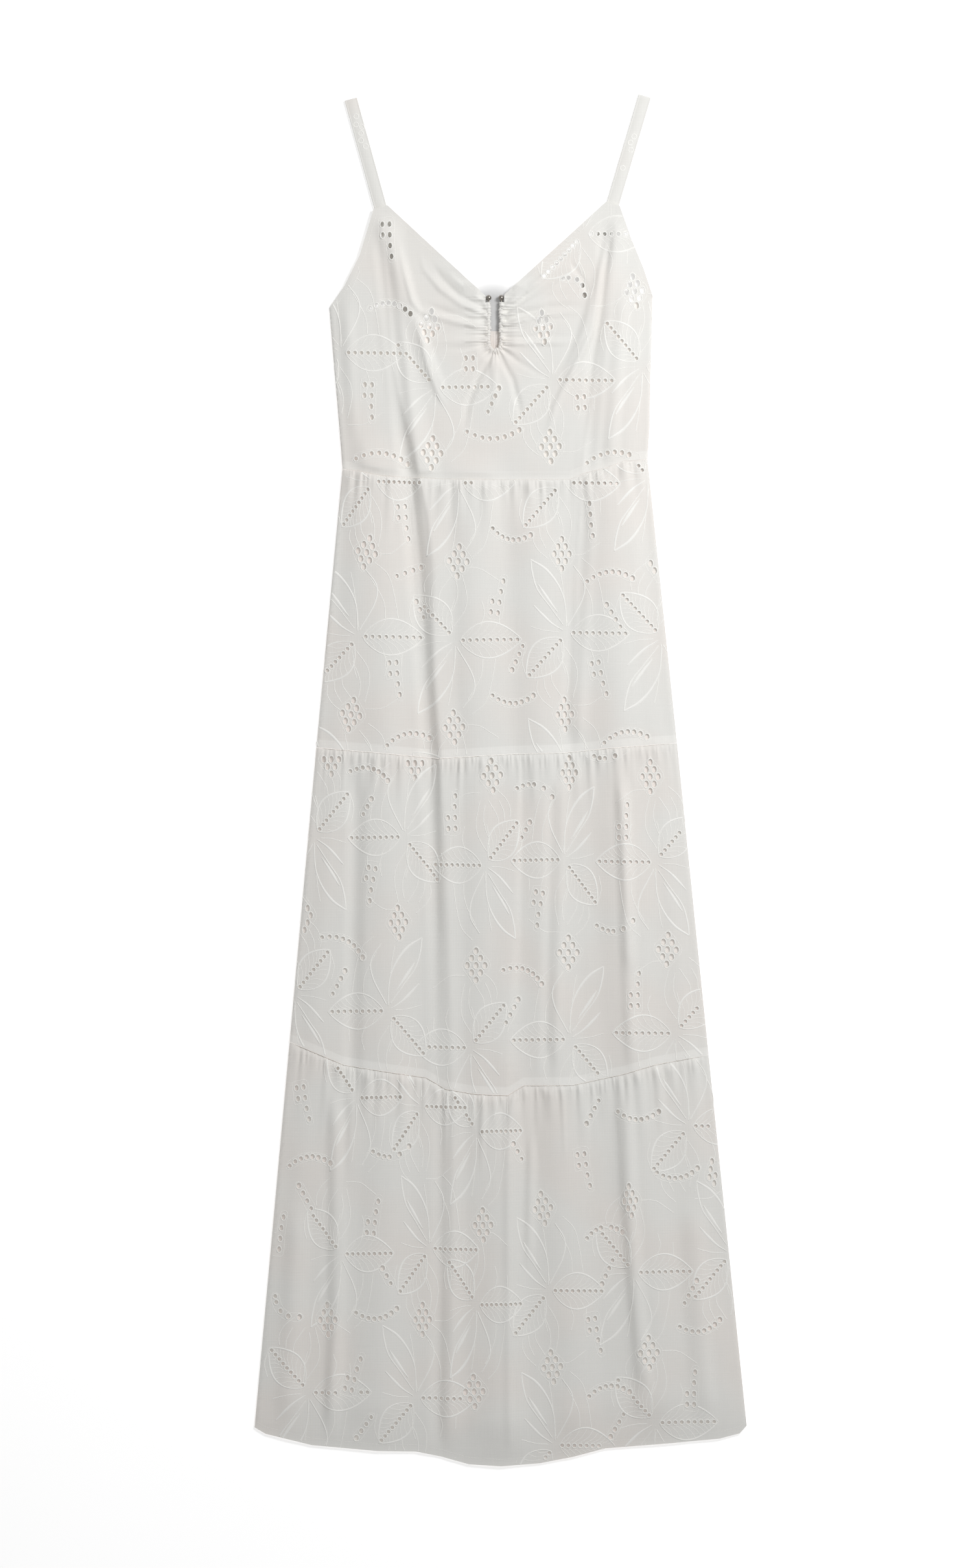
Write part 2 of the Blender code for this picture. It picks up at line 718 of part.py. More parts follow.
def make_strap(row, dress):
    """One strap: its front run over its back run, folded over at the shoulder."""
    base, along, across, length = strap_axes(row)
    half = STRAP_WIDTH / 2

    def reach(side):
        """How far down the back run goes at one of its edges, to just above the back's top edge."""
        start = base + across * half * side
        far = 0.0
        while (start - along * far).y > on_line(BACK_TOP, (start - along * far).x) + LAYER_GAP:
            far += STRAP_REACH_STEP
        return far

    turn = FRONT_FLOOR + WALL
    tip = [(length - turn / 2 + turn / 2 * math.sin(a), turn / 2 - turn / 2 * math.cos(a))
           for a in [math.pi * step / STRAP_FOLD_STEPS for step in range(STRAP_FOLD_STEPS + 1)]]
    inner = [(length - turn / 2, FRONT_FLOOR), (length - turn / 2, WALL)]
    mesh = bmesh.new()
    loops = []
    for side in (-1, 1):
        back = -reach(side)
        profile = [(back, 0.0)] + tip + [(LAYER_GAP, turn), (LAYER_GAP, FRONT_FLOOR)] + inner + [(back, WALL)]
        corners = []
        for far, z in profile:
            place = base + along * far + across * half * side
            corners.append(mesh.verts.new((place.x * MM, place.y * MM, z * MM)))
        loops.append(corners)
    mesh.faces.new(loops[0])
    mesh.faces.new(loops[1][::-1])
    for index in range(len(loops[0])):
        after = (index + 1) % len(loops[0])
        mesh.faces.new((loops[0][after], loops[0][index], loops[1][index], loops[1][after]))
    finished("strap_" + row[0], mesh, COTTON, COTTON_ROUGHNESS, 0.0, dress)


def bodice_outline():
    """The outline of the front bodice with the keyhole's slot cut into its neckline."""
    waist_extra = [WAIST[0][0] + SEAM_STEP * step for step in range(1, WAIST_STEPS + 1)]
    waist_extra += fold_crossings(WAIST)
    waist = line_points(WAIST, SEAM_GAP / 2, waist_extra)
    right = side_points(1, RIGHT_ARMHOLE)
    left = side_points(0, LEFT_ARMHOLE)
    corners = {}
    for row in STRAPS:
        base, _, across, _ = strap_axes(row)
        corners[row[0]] = [base - across * STRAP_CORNER, base + across * STRAP_CORNER]
    loop = waist + right + list(RIGHT_ARMHOLE[::-1])
    loop += [tuple(corners["right"][1]), tuple(corners["right"][0])]
    right_foot = (SLOT_X + SLOT_EDGE + NECK_FOOT_SHIFT, NECK_RIGHT_FOOT)
    left_foot = (SLOT_X - SLOT_EDGE - NECK_FOOT_SHIFT, NECK_LEFT_FOOT)
    for share in NECK_SHARES:
        neck = corners["right"][0].lerp(Vector(right_foot), share)
        loop.append(tuple(neck))
    loop.append(right_foot)
    for step in range(2 * SLOT_GATHERS - 1, 0, -1):
        loop.append(slot_point(0.0, step / 2))
    loop.append(left_foot)
    for share in NECK_SHARES:
        neck = Vector(left_foot).lerp(corners["left"][1], share)
        loop.append(tuple(neck))
    loop += [tuple(corners["left"][1]), tuple(corners["left"][0])]
    return loop + list(LEFT_ARMHOLE) + left[::-1]


def make_bodice(dress):
    """The front bodice with its slot, folds and eyelets, and the plain back bodice."""
    loop = bodice_outline()
    wanted = []
    for away, count in SLOT_RINGS:
        for step in range(1, count):
            wanted.append((*slot_point(away, SLOT_GATHERS * step / count), SLOT_RING_ROOM, None))
    wanted += fold_points()
    for row in range(BODICE_ROWS):
        for column in range(BODICE_COLUMNS):
            x = BODICE_CORNER[0] + (column + 0.5 * (row % 2)) * BODICE_STEP[0]
            wanted.append((x, BODICE_CORNER[1] + row * BODICE_STEP[1], BODICE_ROOM, None))
    eyelets = panel_eyelets("front_bodice", loop)
    inner, creases = spread_points(loop, eyelets, wanted, POINT_SPACING)
    cloth_object("front_bodice", loop, eyelets, inner, creases,
                 lambda x, y: FRONT_FLOOR + bodice_lift(x, y), COTTON, dress)
    back = line_points(WAIST, SEAM_GAP / 2, [])
    back += side_points(1, RIGHT_ARMHOLE)
    back += list(BACK_TOP[::-1])
    back += side_points(0, LEFT_ARMHOLE)[::-1]
    cloth_object("back_bodice", back, [], [], [], lambda x, y: 0.0, COTTON_INSIDE, dress)


def hairpin(top, count):
    """Evenly spaced places on the U-shaped line of the wire: each a point and its direction."""
    straight = top - SLOT_FOOT
    bend = math.pi * LEG
    whole = 2 * straight + bend
    places = []
    for step in range(count + 1):
        along = whole * step / count
        if along <= straight:
            places.append((Vector((SLOT_X - LEG, top - along, CASING_Z)), Vector((0, -1, 0))))
        elif along >= whole - straight:
            places.append((Vector((SLOT_X + LEG, top - (whole - along), CASING_Z)), Vector((0, 1, 0))))
        else:
            angle = math.pi + (along - straight) / LEG
            point = Vector((SLOT_X + LEG * math.cos(angle), SLOT_FOOT + LEG * math.sin(angle), CASING_Z))
            places.append((point, Vector((-math.sin(angle), math.cos(angle), 0))))
    return places


def plain_hairpin(top):
    """The same line with places only at its ends and round its bend, shared by the bore and the wire."""
    places = [(Vector((SLOT_X - LEG, top, CASING_Z)), Vector((0, -1, 0)))]
    for step in range(WIRE_BENDS + 1):
        angle = math.pi * (1 + step / WIRE_BENDS)
        point = Vector((SLOT_X + LEG * math.cos(angle), SLOT_FOOT + LEG * math.sin(angle), CASING_Z))
        places.append((point, Vector((-math.sin(angle), math.cos(angle), 0))))
    places.append((Vector((SLOT_X + LEG, top, CASING_Z)), Vector((0, 1, 0))))
    return places


def ring(mesh, place, radius, sides):
    """One ring of points round a place on a line that lies level."""
    point, along = place
    across = along.cross(Vector((0, 0, 1)))
    verts = []
    for step in range(sides):
        angle = 2 * math.pi * step / sides
        corner = point + across * radius * math.cos(angle) + Vector((0, 0, radius * math.sin(angle)))
        verts.append(mesh.verts.new(corner * MM))
    return verts


def bridge(mesh, one, other):
    """Faces between two rings."""
    for step in range(len(one)):
        after = (step + 1) % len(one)
        mesh.faces.new((one[step], one[after], other[after], other[step]))


def make_casing(dress):
    """The ruched tube that binds the keyhole, open at both ends."""
    mesh = bmesh.new()
    outer = []
    for step, place in enumerate(hairpin(CASING_TOP, 2 * CASING_GATHERS)):
        radius = CASING_RADIUS - (CASING_RUCHE if step % 2 else 0.0)
        outer.append(ring(mesh, place, radius, CASING_SIDES))
    inner = [ring(mesh, place, CASING_BORE, CASING_SIDES) for place in plain_hairpin(CASING_TOP)]
    for one, other in zip(outer, outer[1:]):
        bridge(mesh, one, other)
    for one, other in zip(inner, inner[1:]):
        bridge(mesh, other, one)
    bridge(mesh, inner[0], outer[0])
    bridge(mesh, outer[-1], inner[-1])
    finished("keyhole_casing", mesh, COTTON, COTTON_ROUGHNESS, 0.0, dress)


def make_wire(dress):
    """The bent wire in the casing, with a ball on each end."""
    mesh = bmesh.new()
    rings = []
    first_angle = math.asin(WIRE_RADIUS / BALL_RADIUS)
    open_angle = math.pi - first_angle
    shares = [(step + BALL_FIRST) / (BALL_RINGS + BALL_FIRST) for step in range(BALL_RINGS)]
    angles = [first_angle + open_angle * share for share in shares]
    down = Vector((0, -1, 0))
    left = Vector((SLOT_X - LEG, BALL_Y, CASING_Z))
    right = Vector((SLOT_X + LEG, BALL_Y, CASING_Z))
    left_tip = mesh.verts.new((left - down * BALL_RADIUS) * MM)
    for angle in reversed(angles):
        point = left + down * BALL_RADIUS * math.cos(angle)
        rings.append(ring(mesh, (point, down), BALL_RADIUS * math.sin(angle), WIRE_SIDES))
    foot = BALL_Y - BALL_RADIUS * math.cos(first_angle)
    for place in plain_hairpin(foot):
        rings.append(ring(mesh, place, WIRE_RADIUS, WIRE_SIDES))
    for angle in angles:
        point = right + down * BALL_RADIUS * math.cos(angle)
        rings.append(ring(mesh, (point, -down), BALL_RADIUS * math.sin(angle), WIRE_SIDES))
    right_tip = mesh.verts.new((right - down * BALL_RADIUS) * MM)
    for one, other in zip(rings, rings[1:]):
        bridge(mesh, one, other)
    for step in range(WIRE_SIDES):
        after = (step + 1) % WIRE_SIDES
        mesh.faces.new((left_tip, rings[0][after], rings[0][step]))
        mesh.faces.new((right_tip, rings[-1][step], rings[-1][after]))
    finished("keyhole_wire", mesh, METAL, METAL_ROUGHNESS, 1.0, dress)


for old in list(bpy.data.objects):
    bpy.data.objects.remove(old, do_unlink=True)

dress_empty = bpy.data.objects.new("dress", None)
bpy.context.collection.objects.link(dress_empty)
make_bodice(dress_empty)
for strap_row in STRAPS:
    make_strap(strap_row, dress_empty)
make_casing(dress_empty)
make_wire(dress_empty)
for tier_row in TIERS:
    make_tier(*tier_row, dress_empty)
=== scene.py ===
"""A white broderie dress with three gathered tiers, laid flat on a pale floor with its front up.

Sizes and tables are in millimetres, in the dress's own axes: X across, +Y up to the straps, +Z off the floor.
"""

import math

import bmesh
import bpy
import numpy as np
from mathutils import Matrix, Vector
from mathutils.bvhtree import BVHTree
from mathutils.geometry import delaunay_2d_cdt


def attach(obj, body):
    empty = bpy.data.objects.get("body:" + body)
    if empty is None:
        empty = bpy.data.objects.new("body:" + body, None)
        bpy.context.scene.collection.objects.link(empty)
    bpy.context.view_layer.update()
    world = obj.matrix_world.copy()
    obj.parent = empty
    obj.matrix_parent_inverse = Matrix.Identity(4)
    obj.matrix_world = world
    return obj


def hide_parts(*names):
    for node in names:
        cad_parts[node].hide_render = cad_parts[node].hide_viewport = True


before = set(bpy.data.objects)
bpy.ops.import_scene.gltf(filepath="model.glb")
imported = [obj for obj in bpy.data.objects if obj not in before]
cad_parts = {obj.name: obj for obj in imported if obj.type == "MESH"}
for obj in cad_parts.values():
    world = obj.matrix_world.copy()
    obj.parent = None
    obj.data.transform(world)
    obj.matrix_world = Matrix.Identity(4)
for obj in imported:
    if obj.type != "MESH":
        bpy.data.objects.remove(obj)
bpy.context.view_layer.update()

MM = 0.001


# Camera: straight above the dress, far off with a long lens, so that the picture has hardly any perspective.
# It frames the dress as a tall picture, with the same margins all round.
VIEW_MIDDLE = (-10.8, -4.0)
VIEW_HEIGHT = 1600.3
CAMERA_HEIGHT = 6000.0
SENSOR = 36.0

camera = bpy.data.objects.new("camera", bpy.data.cameras.new("camera"))
bpy.context.collection.objects.link(camera)
camera.location = (VIEW_MIDDLE[0] * MM, VIEW_MIDDLE[1] * MM, CAMERA_HEIGHT * MM)
camera.data.sensor_fit = "VERTICAL"
camera.data.sensor_height = SENSOR
camera.data.lens = SENSOR * CAMERA_HEIGHT / VIEW_HEIGHT
bpy.context.scene.camera = camera
bpy.context.scene.view_settings.view_transform = "Standard"


# Floor and light: a pale card, soft light from the upper right that falls off to the hem, and a bright room.
# The card glows a little, so that it is white, but not where painted shade greys it under the slot and the
# eyelets that look straight on it.
FLOOR_SIDE = 9000.0
FLOOR_DROP = 0.4
FLOOR_GLOW = 0.36
LAMP_PLACE = (900.0, 1000.0, 1500.0)
LAMP_AIM = (-40.0, 60.0, 0.0)
LAMP_SIDE = 700.0
LAMP_WATTS = 21.4
ROOM_LIGHT = 0.47
PAINTED_SHADES = (
    # across, height, full painted shade within this distance, none beyond this, how deep
    (-8.0, 470.0, 20.0, 52.0, 1.0),
    (-110.0, 545.0, 16.0, 23.0, 0.3),
    (-129.0, 484.0, 20.0, 28.0, 0.3),
    (80.0, 508.0, 24.0, 34.0, 0.3),
    (64.0, 530.0, 10.0, 17.0, 0.3),
    (117.0, 560.0, 10.0, 18.0, 0.3),
    (-70.0, 478.0, 18.0, 26.0, 0.3),
    (40.0, 478.0, 18.0, 26.0, 0.3),
    (131.0, 506.0, 12.0, 17.0, 0.3),
)


def linear(code):
    """The linear colour of an sRGB hex code."""
    parts = [int(code[i:i + 2], 16) / 255 for i in (1, 3, 5)]
    return (*[p / 12.92 if p <= 0.04045 else ((p + 0.055) / 1.055) ** 2.4 for p in parts], 1.0)


def add_node(tree, kind, inputs, **settings):
    """Adds a node. Each input is a plain value, or the output socket of another node."""
    made = tree.nodes.new("ShaderNode" + kind)
    for name, value in settings.items():
        setattr(made, name, value)
    for name, value in inputs.items():
        if isinstance(value, bpy.types.NodeSocket):
            tree.links.new(value, made.inputs[name])
        else:
            made.inputs[name].default_value = value
    return made


def new_material(name):
    """An empty material: its node tree and its output node."""
    material = bpy.data.materials.new(name)
    material.use_nodes = True
    material.node_tree.nodes.clear()
    return material, material.node_tree, add_node(material.node_tree, "OutputMaterial", {})


def mapped(tree, value, low, high, to_low, to_high, **settings):
    """A value carried over from one range to another."""
    made = add_node(tree, "MapRange", {
        "Value": value, "From Min": low, "From Max": high, "To Min": to_low, "To Max": to_high,
    }, **settings)
    return made.outputs["Result"]


def mixed(tree, share, one, other, **settings):
    """A colour some way from one colour to another, or their product."""
    made = add_node(tree, "MixRGB", {"Fac": share, "Color1": one, "Color2": other}, **settings)
    return made.outputs["Color"]


# Painted card: matt white with a faint mottle, and painted shade, grey and without glow, where the slot and the
# top eyelets look on it.
card, tree, out = new_material("painted_card")
place = add_node(tree, "TexCoord", {})
mottle = add_node(tree, "TexNoise", {"Vector": place.outputs["Object"], "Scale": 3.0, "Detail": 2.0})
shade = mixed(tree, mottle.outputs["Fac"], linear("#fcfcfc"), linear("#fefefe"))
open_card = 1.0
for across, up, full, none, depth in PAINTED_SHADES:
    away = add_node(tree, "VectorMath", {0: place.outputs["Object"], 1: (across * MM, up * MM, 0.0)},
                    operation="DISTANCE")
    fade = mapped(tree, away.outputs["Value"], full * MM, none * MM, 1 - depth, 1.0,
                  interpolation_type="SMOOTHSTEP")
    both = add_node(tree, "Math", {0: fade, 1: open_card}, operation="MULTIPLY")
    open_card = both.outputs["Value"]
# Painted shade: inside each disc of the table above, the card turns grey and stops glowing.
painted_shade_colour = mixed(tree, open_card, linear("#d2d2d2"), shade)
glow = add_node(tree, "Math", {0: open_card, 1: FLOOR_GLOW}, operation="MULTIPLY")
shader = add_node(tree, "BsdfPrincipled", {
    "Base Color": painted_shade_colour, "Roughness": 0.9,
    "Emission Color": (1.0, 1.0, 1.0, 1.0), "Emission Strength": glow.outputs["Value"],
})
tree.links.new(shader.outputs["BSDF"], out.inputs["Surface"])

bpy.ops.object.select_all(action="DESELECT")
bpy.ops.mesh.primitive_plane_add(size=FLOOR_SIDE * MM, location=(0.0, 0.0, -FLOOR_DROP * MM))
floor = bpy.context.active_object
floor.name = "floor"
floor.data.materials.append(card)

lamp_place = Vector(LAMP_PLACE) * MM
lamp_aim = Vector(LAMP_AIM) * MM
bpy.ops.object.light_add(type="AREA", location=lamp_place)
lamp = bpy.context.active_object
lamp.data.shape = "DISK"
lamp.data.size = LAMP_SIDE * MM
lamp.data.energy = LAMP_WATTS
lamp.rotation_euler = (lamp_aim - lamp_place).to_track_quat("-Z", "Y").to_euler()

room = bpy.data.worlds.new("room")
room.use_nodes = True
room.node_tree.nodes["Background"].inputs["Color"].default_value = (1.0, 1.0, 1.0, 1.0)
room.node_tree.nodes["Background"].inputs["Strength"].default_value = ROOM_LIGHT
bpy.context.scene.world = room


# Back of the dress: the bodice back and the backs of the three tiers, thin cotton lying flat on the floor.
# They show through the eyelets and the keyhole, where the bodice back is drawn up in fine pleats.
CLOTH = 0.6
CLOTH_SHARP = 62.0
BACK_FLOOR = 0.15
SEAM_GAP = 0.36
SIDES = np.array((
    # height, left edge, right edge
    (-662.0, -251.1, 251.1),
    (322.0, -161.6, 150.4),
    (360.0, -164.5, 151.9),
    (418.0, -169.5, 153.2),
    (481.8, -174.8, 154.9),
    (494.0, -175.4, 155.2),
))
BACK_TOP = np.array((
    # across, height
    (-174.8, 481.8), (-90.0, 464.0), (-5.0, 458.0), (82.0, 467.0), (155.2, 494.0),
))
WAIST = np.array((
    # across, height
    (-161.2, 317.4), (-143.7, 314.8), (-121.9, 310.1), (-60.0, 307.0), (-6.0, 306.2),
    (70.6, 306.6), (85.8, 313.0), (106.9, 318.1), (125.4, 325.0), (149.9, 327.3),
))
UPPER_SEAM = np.array((
    (-187.9, 33.1), (-124.5, 27.8), (-63.7, 22.1), (11.7, 26.5), (64.6, 27.8), (108.3, 32.4), (180.0, 37.7),
))
LOWER_SEAM = np.array((
    (-215.2, -267.2), (-159.6, -290.6), (-119.2, -296.9), (-75.6, -303.5), (-56.4, -315.0), (-26.0, -320.1),
    (7.1, -321.4), (23.6, -311.5), (73.9, -311.1), (123.5, -300.2), (157.2, -290.3), (212.2, -280.4),
))
HEM = np.array((
    (-251.0, -660.4), (-239.6, -667.0), (-192.6, -678.5), (-125.8, -684.5), (-86.2, -685.1),
    (-59.7, -690.4), (-32.6, -698.0), (0.5, -700.1), (40.1, -697.0), (73.9, -690.4),
    (106.9, -681.8), (173.7, -676.5), (223.3, -671.9), (243.8, -666.5), (251.0, -658.6),
))
TIERS = (
    # name, top line, bottom line, gathers, gather height, gather length, cut width, cut length
    ("tier_1", WAIST, UPPER_SEAM, 22, 3.4, 66.0, 420.0, 305.0),
    ("tier_2", UPPER_SEAM, LOWER_SEAM, 44, 2.7, 56.0, 520.0, 345.0),
    ("tier_3", LOWER_SEAM, HEM, 38, 3.5, 80.0, 590.0, 405.0),
)
SIDE_TOP = SIDES[-1, 0]
SIDE_SHARE = 0.03
KEYHOLE_X = -5.8
KEYHOLE_MIDDLE = (KEYHOLE_X, 462.0)
SLOT_FOOT = 444.9
SLOT_EDGE = 9.2
BACK_PLEAT = 2.4
BACK_PLEAT_DEPTH = 0.35
BACK_PLEATS_HALF = 34.0
KEYHOLE_FLAT = 12.0
KEYHOLE_SWELL = 30.0
OUTLINE_STEP = 2.2
PUFF = 3.4
PUFF_WIDTH = 26.0
FOLD_FADE = 46.0
FOLD_INSET = 12.0
FOLDS = (
    # top y, bottom y, top x, middle x, bottom x, left half width, right half width, height
    (575, -760, -124, -66, -66, 14, 12, -6.0),
    (575, 10, 110, 86, 68, 12, 12, -4.6),
    (360, -760, -128, -118, -128, 42, 40, 6.2),
    (340, -760, -34, -16, -6, 40, 44, 7.0),
    (300, -760, 34, 52, 84, 34, 36, 5.2),
    (330, -760, 112, 132, 170, 36, 40, 6.4),
    (552, 380, -106, -86, -54, 16, 10, 4.6),
    (552, 398, 106, 92, 60, 10, 16, 5.0),
    (500, 330, -160, -156, -150, 9, 12, 3.4),
    (520, 300, 128, 118, 110, 12, 12, 3.8),
    (30, -330, 16, 14, 4, 24, 6, 3.6),
    (20, -330, -146, -150, -152, 12, 14, -4.0),
    (10, -320, 56, 52, 48, 12, 9, -4.2),
    (20, -310, 122, 128, 134, 10, 12, 4.2),
    (-320, -760, 4, 4, 4, 26, 12, 2.6),
    (-305, -700, -170, -168, -176, 11, 13, 5.6),
    (-345, -510, 31, 30, 28, 7, 8, 4.6),
    (-300, -640, 128, 134, 150, 11, 12, 5.0),
    (-420, -760, 196, 206, 222, 20, 16, 4.8),
    (-420, -760, -208, -214, -226, 16, 20, 4.6),
)
FOLD_SHARE = 0.72
CREASES = (
    # height, width of the left slope, width of the right fall, then points down the crest: height, across
    (4.8, 16.0, 26.0, (
        (580.0, -123.0), (524.0, -118.0), (490.0, -114.5), (439.0, -111.0), (395.0, -104.0), (365.0, -96.0),
        (334.0, -87.5), (270.0, -74.0), (214.0, -69.0), (106.0, -68.0), (30.0, -62.0), (-120.0, -60.5),
        (-300.0, -60.5), (-340.0, -57.0), (-520.0, -57.0), (-690.0, -58.0),
    )),
    (3.4, 10.0, 22.0, (
        (578.0, 118.0), (520.0, 111.0), (483.0, 106.5), (449.0, 101.0), (402.0, 94.5), (334.0, 85.0),
        (214.0, 77.5), (106.0, 74.0), (36.0, 71.0),
    )),
    (2.0, 7.0, 16.0, ((10.0, 57.0), (-80.0, 54.0), (-200.0, 52.0), (-290.0, 50.0))),
    (2.2, 8.0, 14.0, ((0.0, 121.0), (-60.0, 124.0), (-120.0, 127.0), (-200.0, 129.0))),
    (3.4, 9.0, 22.0, ((-318.0, 9.0), (-420.0, 7.5), (-560.0, 8.0), (-700.0, 9.0))),
    (1.6, 9.0, 18.0, ((-320.0, 118.0), (-420.0, 126.0), (-560.0, 136.0), (-660.0, 142.0))),
    (1.6, 9.0, 18.0, ((-310.0, -150.0), (-420.0, -158.0), (-560.0, -168.0), (-660.0, -176.0))),
)
CREASE_FADE = 25.0
SLACK = 0.32
GATHER_ONSET = 10.0
BACK_GATHER = 0.6
BACK_PHASE = 2.2
BACK_DROP = 1.2
BACK_TUCK = 2.4
BACK_TUCK_WIDTH = 3.0
HEM_LIE = 0.12
HEM_REACH = 50.0


def smooth(value):
    """0 below 0, 1 above 1, and an S-curve between."""
    value = np.clip(value, 0.0, 1.0)
    return value * value * (3 - 2 * value)


def side_edges(y):
    """The left and right edge of the dress at a height."""
    return np.interp(y, SIDES[:, 0], SIDES[:, 1]), np.interp(y, SIDES[:, 0], SIDES[:, 2])


def on_line(line, x):
    """The height of a seam line at x."""
    return np.interp(x, line[:, 0], line[:, 1])


def refined(loop, step):
    """A closed outline with points no further apart than a step."""
    fine = []
    for start, end in zip(loop, np.roll(loop, -1, axis=0)):
        parts = max(1, math.ceil(np.hypot(*(end - start)) / step))
        for part in range(parts):
            fine.append(start + (end - start) * part / parts)
    return np.array(fine)


def tier_outline(top_line, low_line):
    """The outline of a tier, counterclockwise, half a seam gap short of its neighbours."""
    low_shift = 0.0 if low_line is HEM else SEAM_GAP / 2
    lower = low_line + (0.0, low_shift)
    upper = top_line[::-1] - (0.0, SEAM_GAP / 2)
    return refined(np.concatenate([lower, upper]), OUTLINE_STEP)


def inside(loop, points):
    """Which points lie inside a closed outline."""
    x, y = points[:, 0], points[:, 1]
    within = np.zeros(len(points), bool)
    for (x0, y0), (x1, y1) in zip(loop, np.roll(loop, -1, axis=0)):
        if y0 != y1:
            within ^= ((y0 > y) != (y1 > y)) & (x < x0 + (x1 - x0) * (y - y0) / (y1 - y0))
    return within


def clear_of(loop, points, room):
    """Which points keep some room from every stretch of a closed outline."""
    clear = np.ones(len(points), bool)
    for start, end in zip(loop, np.roll(loop, -1, axis=0)):
        run = end - start
        share = np.clip((points - start) @ run / (run @ run), 0.0, 1.0)
        clear &= np.hypot(*(points - start - share[:, None] * run).T) > room
    return clear


def kept_inside(outline, points, room):
    """The points inside a closed outline that keep some room from it."""
    points = points[inside(outline, points)]
    return points[clear_of(outline, points, room)]


def cloth_mesh(name, outline, holes, inner, under, material, doubled=None):
    """A thin sheet over a flat outline with holes cut through. under(x, y) is the height of its lower side."""
    points = list(outline)
    edges = [(i, (i + 1) % len(outline)) for i in range(len(outline))]
    owner = [-1] * len(outline)
    for number, hole in enumerate(holes):
        first = len(points)
        points += list(hole)
        owner += [number] * len(hole)
        edges += [(first + i, first + (i + 1) % len(hole)) for i in range(len(hole))]
    points += list(inner)
    owner += [-1] * len(inner)
    flat, _, faces, sources, _, _ = delaunay_2d_cdt([Vector(p) for p in points], edges, [], 1, 1e-5)
    kept = []
    for face in faces:
        owners = {owner[sources[corner][0]] for corner in face}
        if len(owners) > 1 or owners == {-1}:
            kept.append(face)
    used = sorted({corner for face in kept for corner in face})
    new = {old: index for index, old in enumerate(used)}
    top = [tuple(new[corner] for corner in face) for face in kept]
    count = len(used)
    walls = {}
    for face in top:
        for start, end in zip(face, face[1:] + face[:1]):
            if walls.pop((end, start), None) is None:
                walls[(start, end)] = (end, start, start + count, end + count)
    x = np.array([flat[old].x for old in used])
    y = np.array([flat[old].y for old in used])
    low = under(x, y)
    verts = np.concatenate([np.stack([x, y, low + CLOTH], 1), np.stack([x, y, low], 1)])
    bottom = [tuple(corner + count for corner in reversed(face)) for face in top]
    mesh = bpy.data.meshes.new(name)
    mesh.from_pydata(verts * MM, [], top + bottom + list(walls.values()))
    mesh.shade_smooth()
    mesh.set_sharp_from_angle(angle=math.radians(CLOTH_SHARP))
    if doubled is not None:
        layer = mesh.attributes.new("doubled", "FLOAT", "POINT")
        layer.data.foreach_set("value", np.tile(doubled(x, y), 2))
    mesh.materials.append(material)
    piece = bpy.data.objects.new(name, mesh)
    bpy.context.collection.objects.link(piece)
    tree = BVHTree.FromPolygons([Vector(v) for v in verts[:count]], top)
    return piece, tree


def cotton(name, light, warm, thread_pitch, let_through_glow):
    """Plain-woven cotton voile: matt, a little fuzzy, warp and weft just visible, with slubs.

    The threads are 0.3 mm apart on the real cloth and are drawn coarser, or they would not show.
    The last argument sets a glow: painted light that stands in for the light that the layer above passes on to
    it, except where the attribute bare is 1.
    """
    material, tree, out = new_material(name)
    place = add_node(tree, "TexCoord", {}).outputs["Object"]
    wave = 2 * math.pi / 20 / (thread_pitch * MM)
    weave, slub = [], []
    for band, stretch in (("X", (900.0, 40.0, 1.0)), ("Y", (40.0, 900.0, 1.0))):
        thread = add_node(tree, "TexWave", {
            "Vector": place, "Scale": wave, "Distortion": 1.2, "Detail Scale": 0.4,
        }, bands_direction=band)
        way = add_node(tree, "Mapping", {"Vector": place, "Scale": stretch})
        uneven = add_node(tree, "TexNoise", {"Vector": way.outputs["Vector"], "Scale": 1.0, "Detail": 2.0})
        weave.append(thread.outputs["Fac"])
        slub.append(uneven.outputs["Fac"])
    weave = add_node(tree, "Math", dict(enumerate(weave)), operation="ADD").outputs["Value"]
    slub = add_node(tree, "Math", dict(enumerate(slub)), operation="ADD").outputs["Value"]
    height = add_node(tree, "Math", {0: slub, 1: 0.8, 2: weave}, operation="MULTIPLY_ADD")
    bump = add_node(tree, "Bump", {"Height": height.outputs["Value"], "Strength": 0.35, "Distance": 0.00012})
    cloud = add_node(tree, "TexNoise", {"Vector": place, "Scale": 11.0, "Detail": 1.0})
    patch = mapped(tree, cloud.outputs["Fac"], 0.42, 0.62, 0.0, 1.0)
    base = mixed(tree, patch, linear(light), linear(warm))
    streak = mapped(tree, slub, 0.7, 1.3, 0.98, 1.01)
    streaked = mixed(tree, 1.0, base, streak, blend_type="MULTIPLY")
    doubled = add_node(tree, "Attribute", {}, attribute_name="doubled")
    thick = mixed(tree, doubled.outputs["Fac"], streaked, linear("#fbfaf6"))
    bare = add_node(tree, "Attribute", {}, attribute_name="bare")
    shader = add_node(tree, "BsdfPrincipled", {
        "Base Color": thick, "Roughness": mapped(tree, slub, 0.7, 1.3, 0.8, 0.95),
        "Sheen Weight": 0.12, "Sheen Roughness": 0.45, "Specular IOR Level": 0.25,
        # Painted light: the cloth glows a little in its own colour, as if lit through the layer above.
        "Normal": bump.outputs["Normal"], "Emission Color": linear(light),
        "Emission Strength": mapped(tree, bare.outputs["Fac"], 0.0, 1.0, let_through_glow, 0.0),
    })
    tree.links.new(shader.outputs["BSDF"], out.inputs["Surface"])
    return material


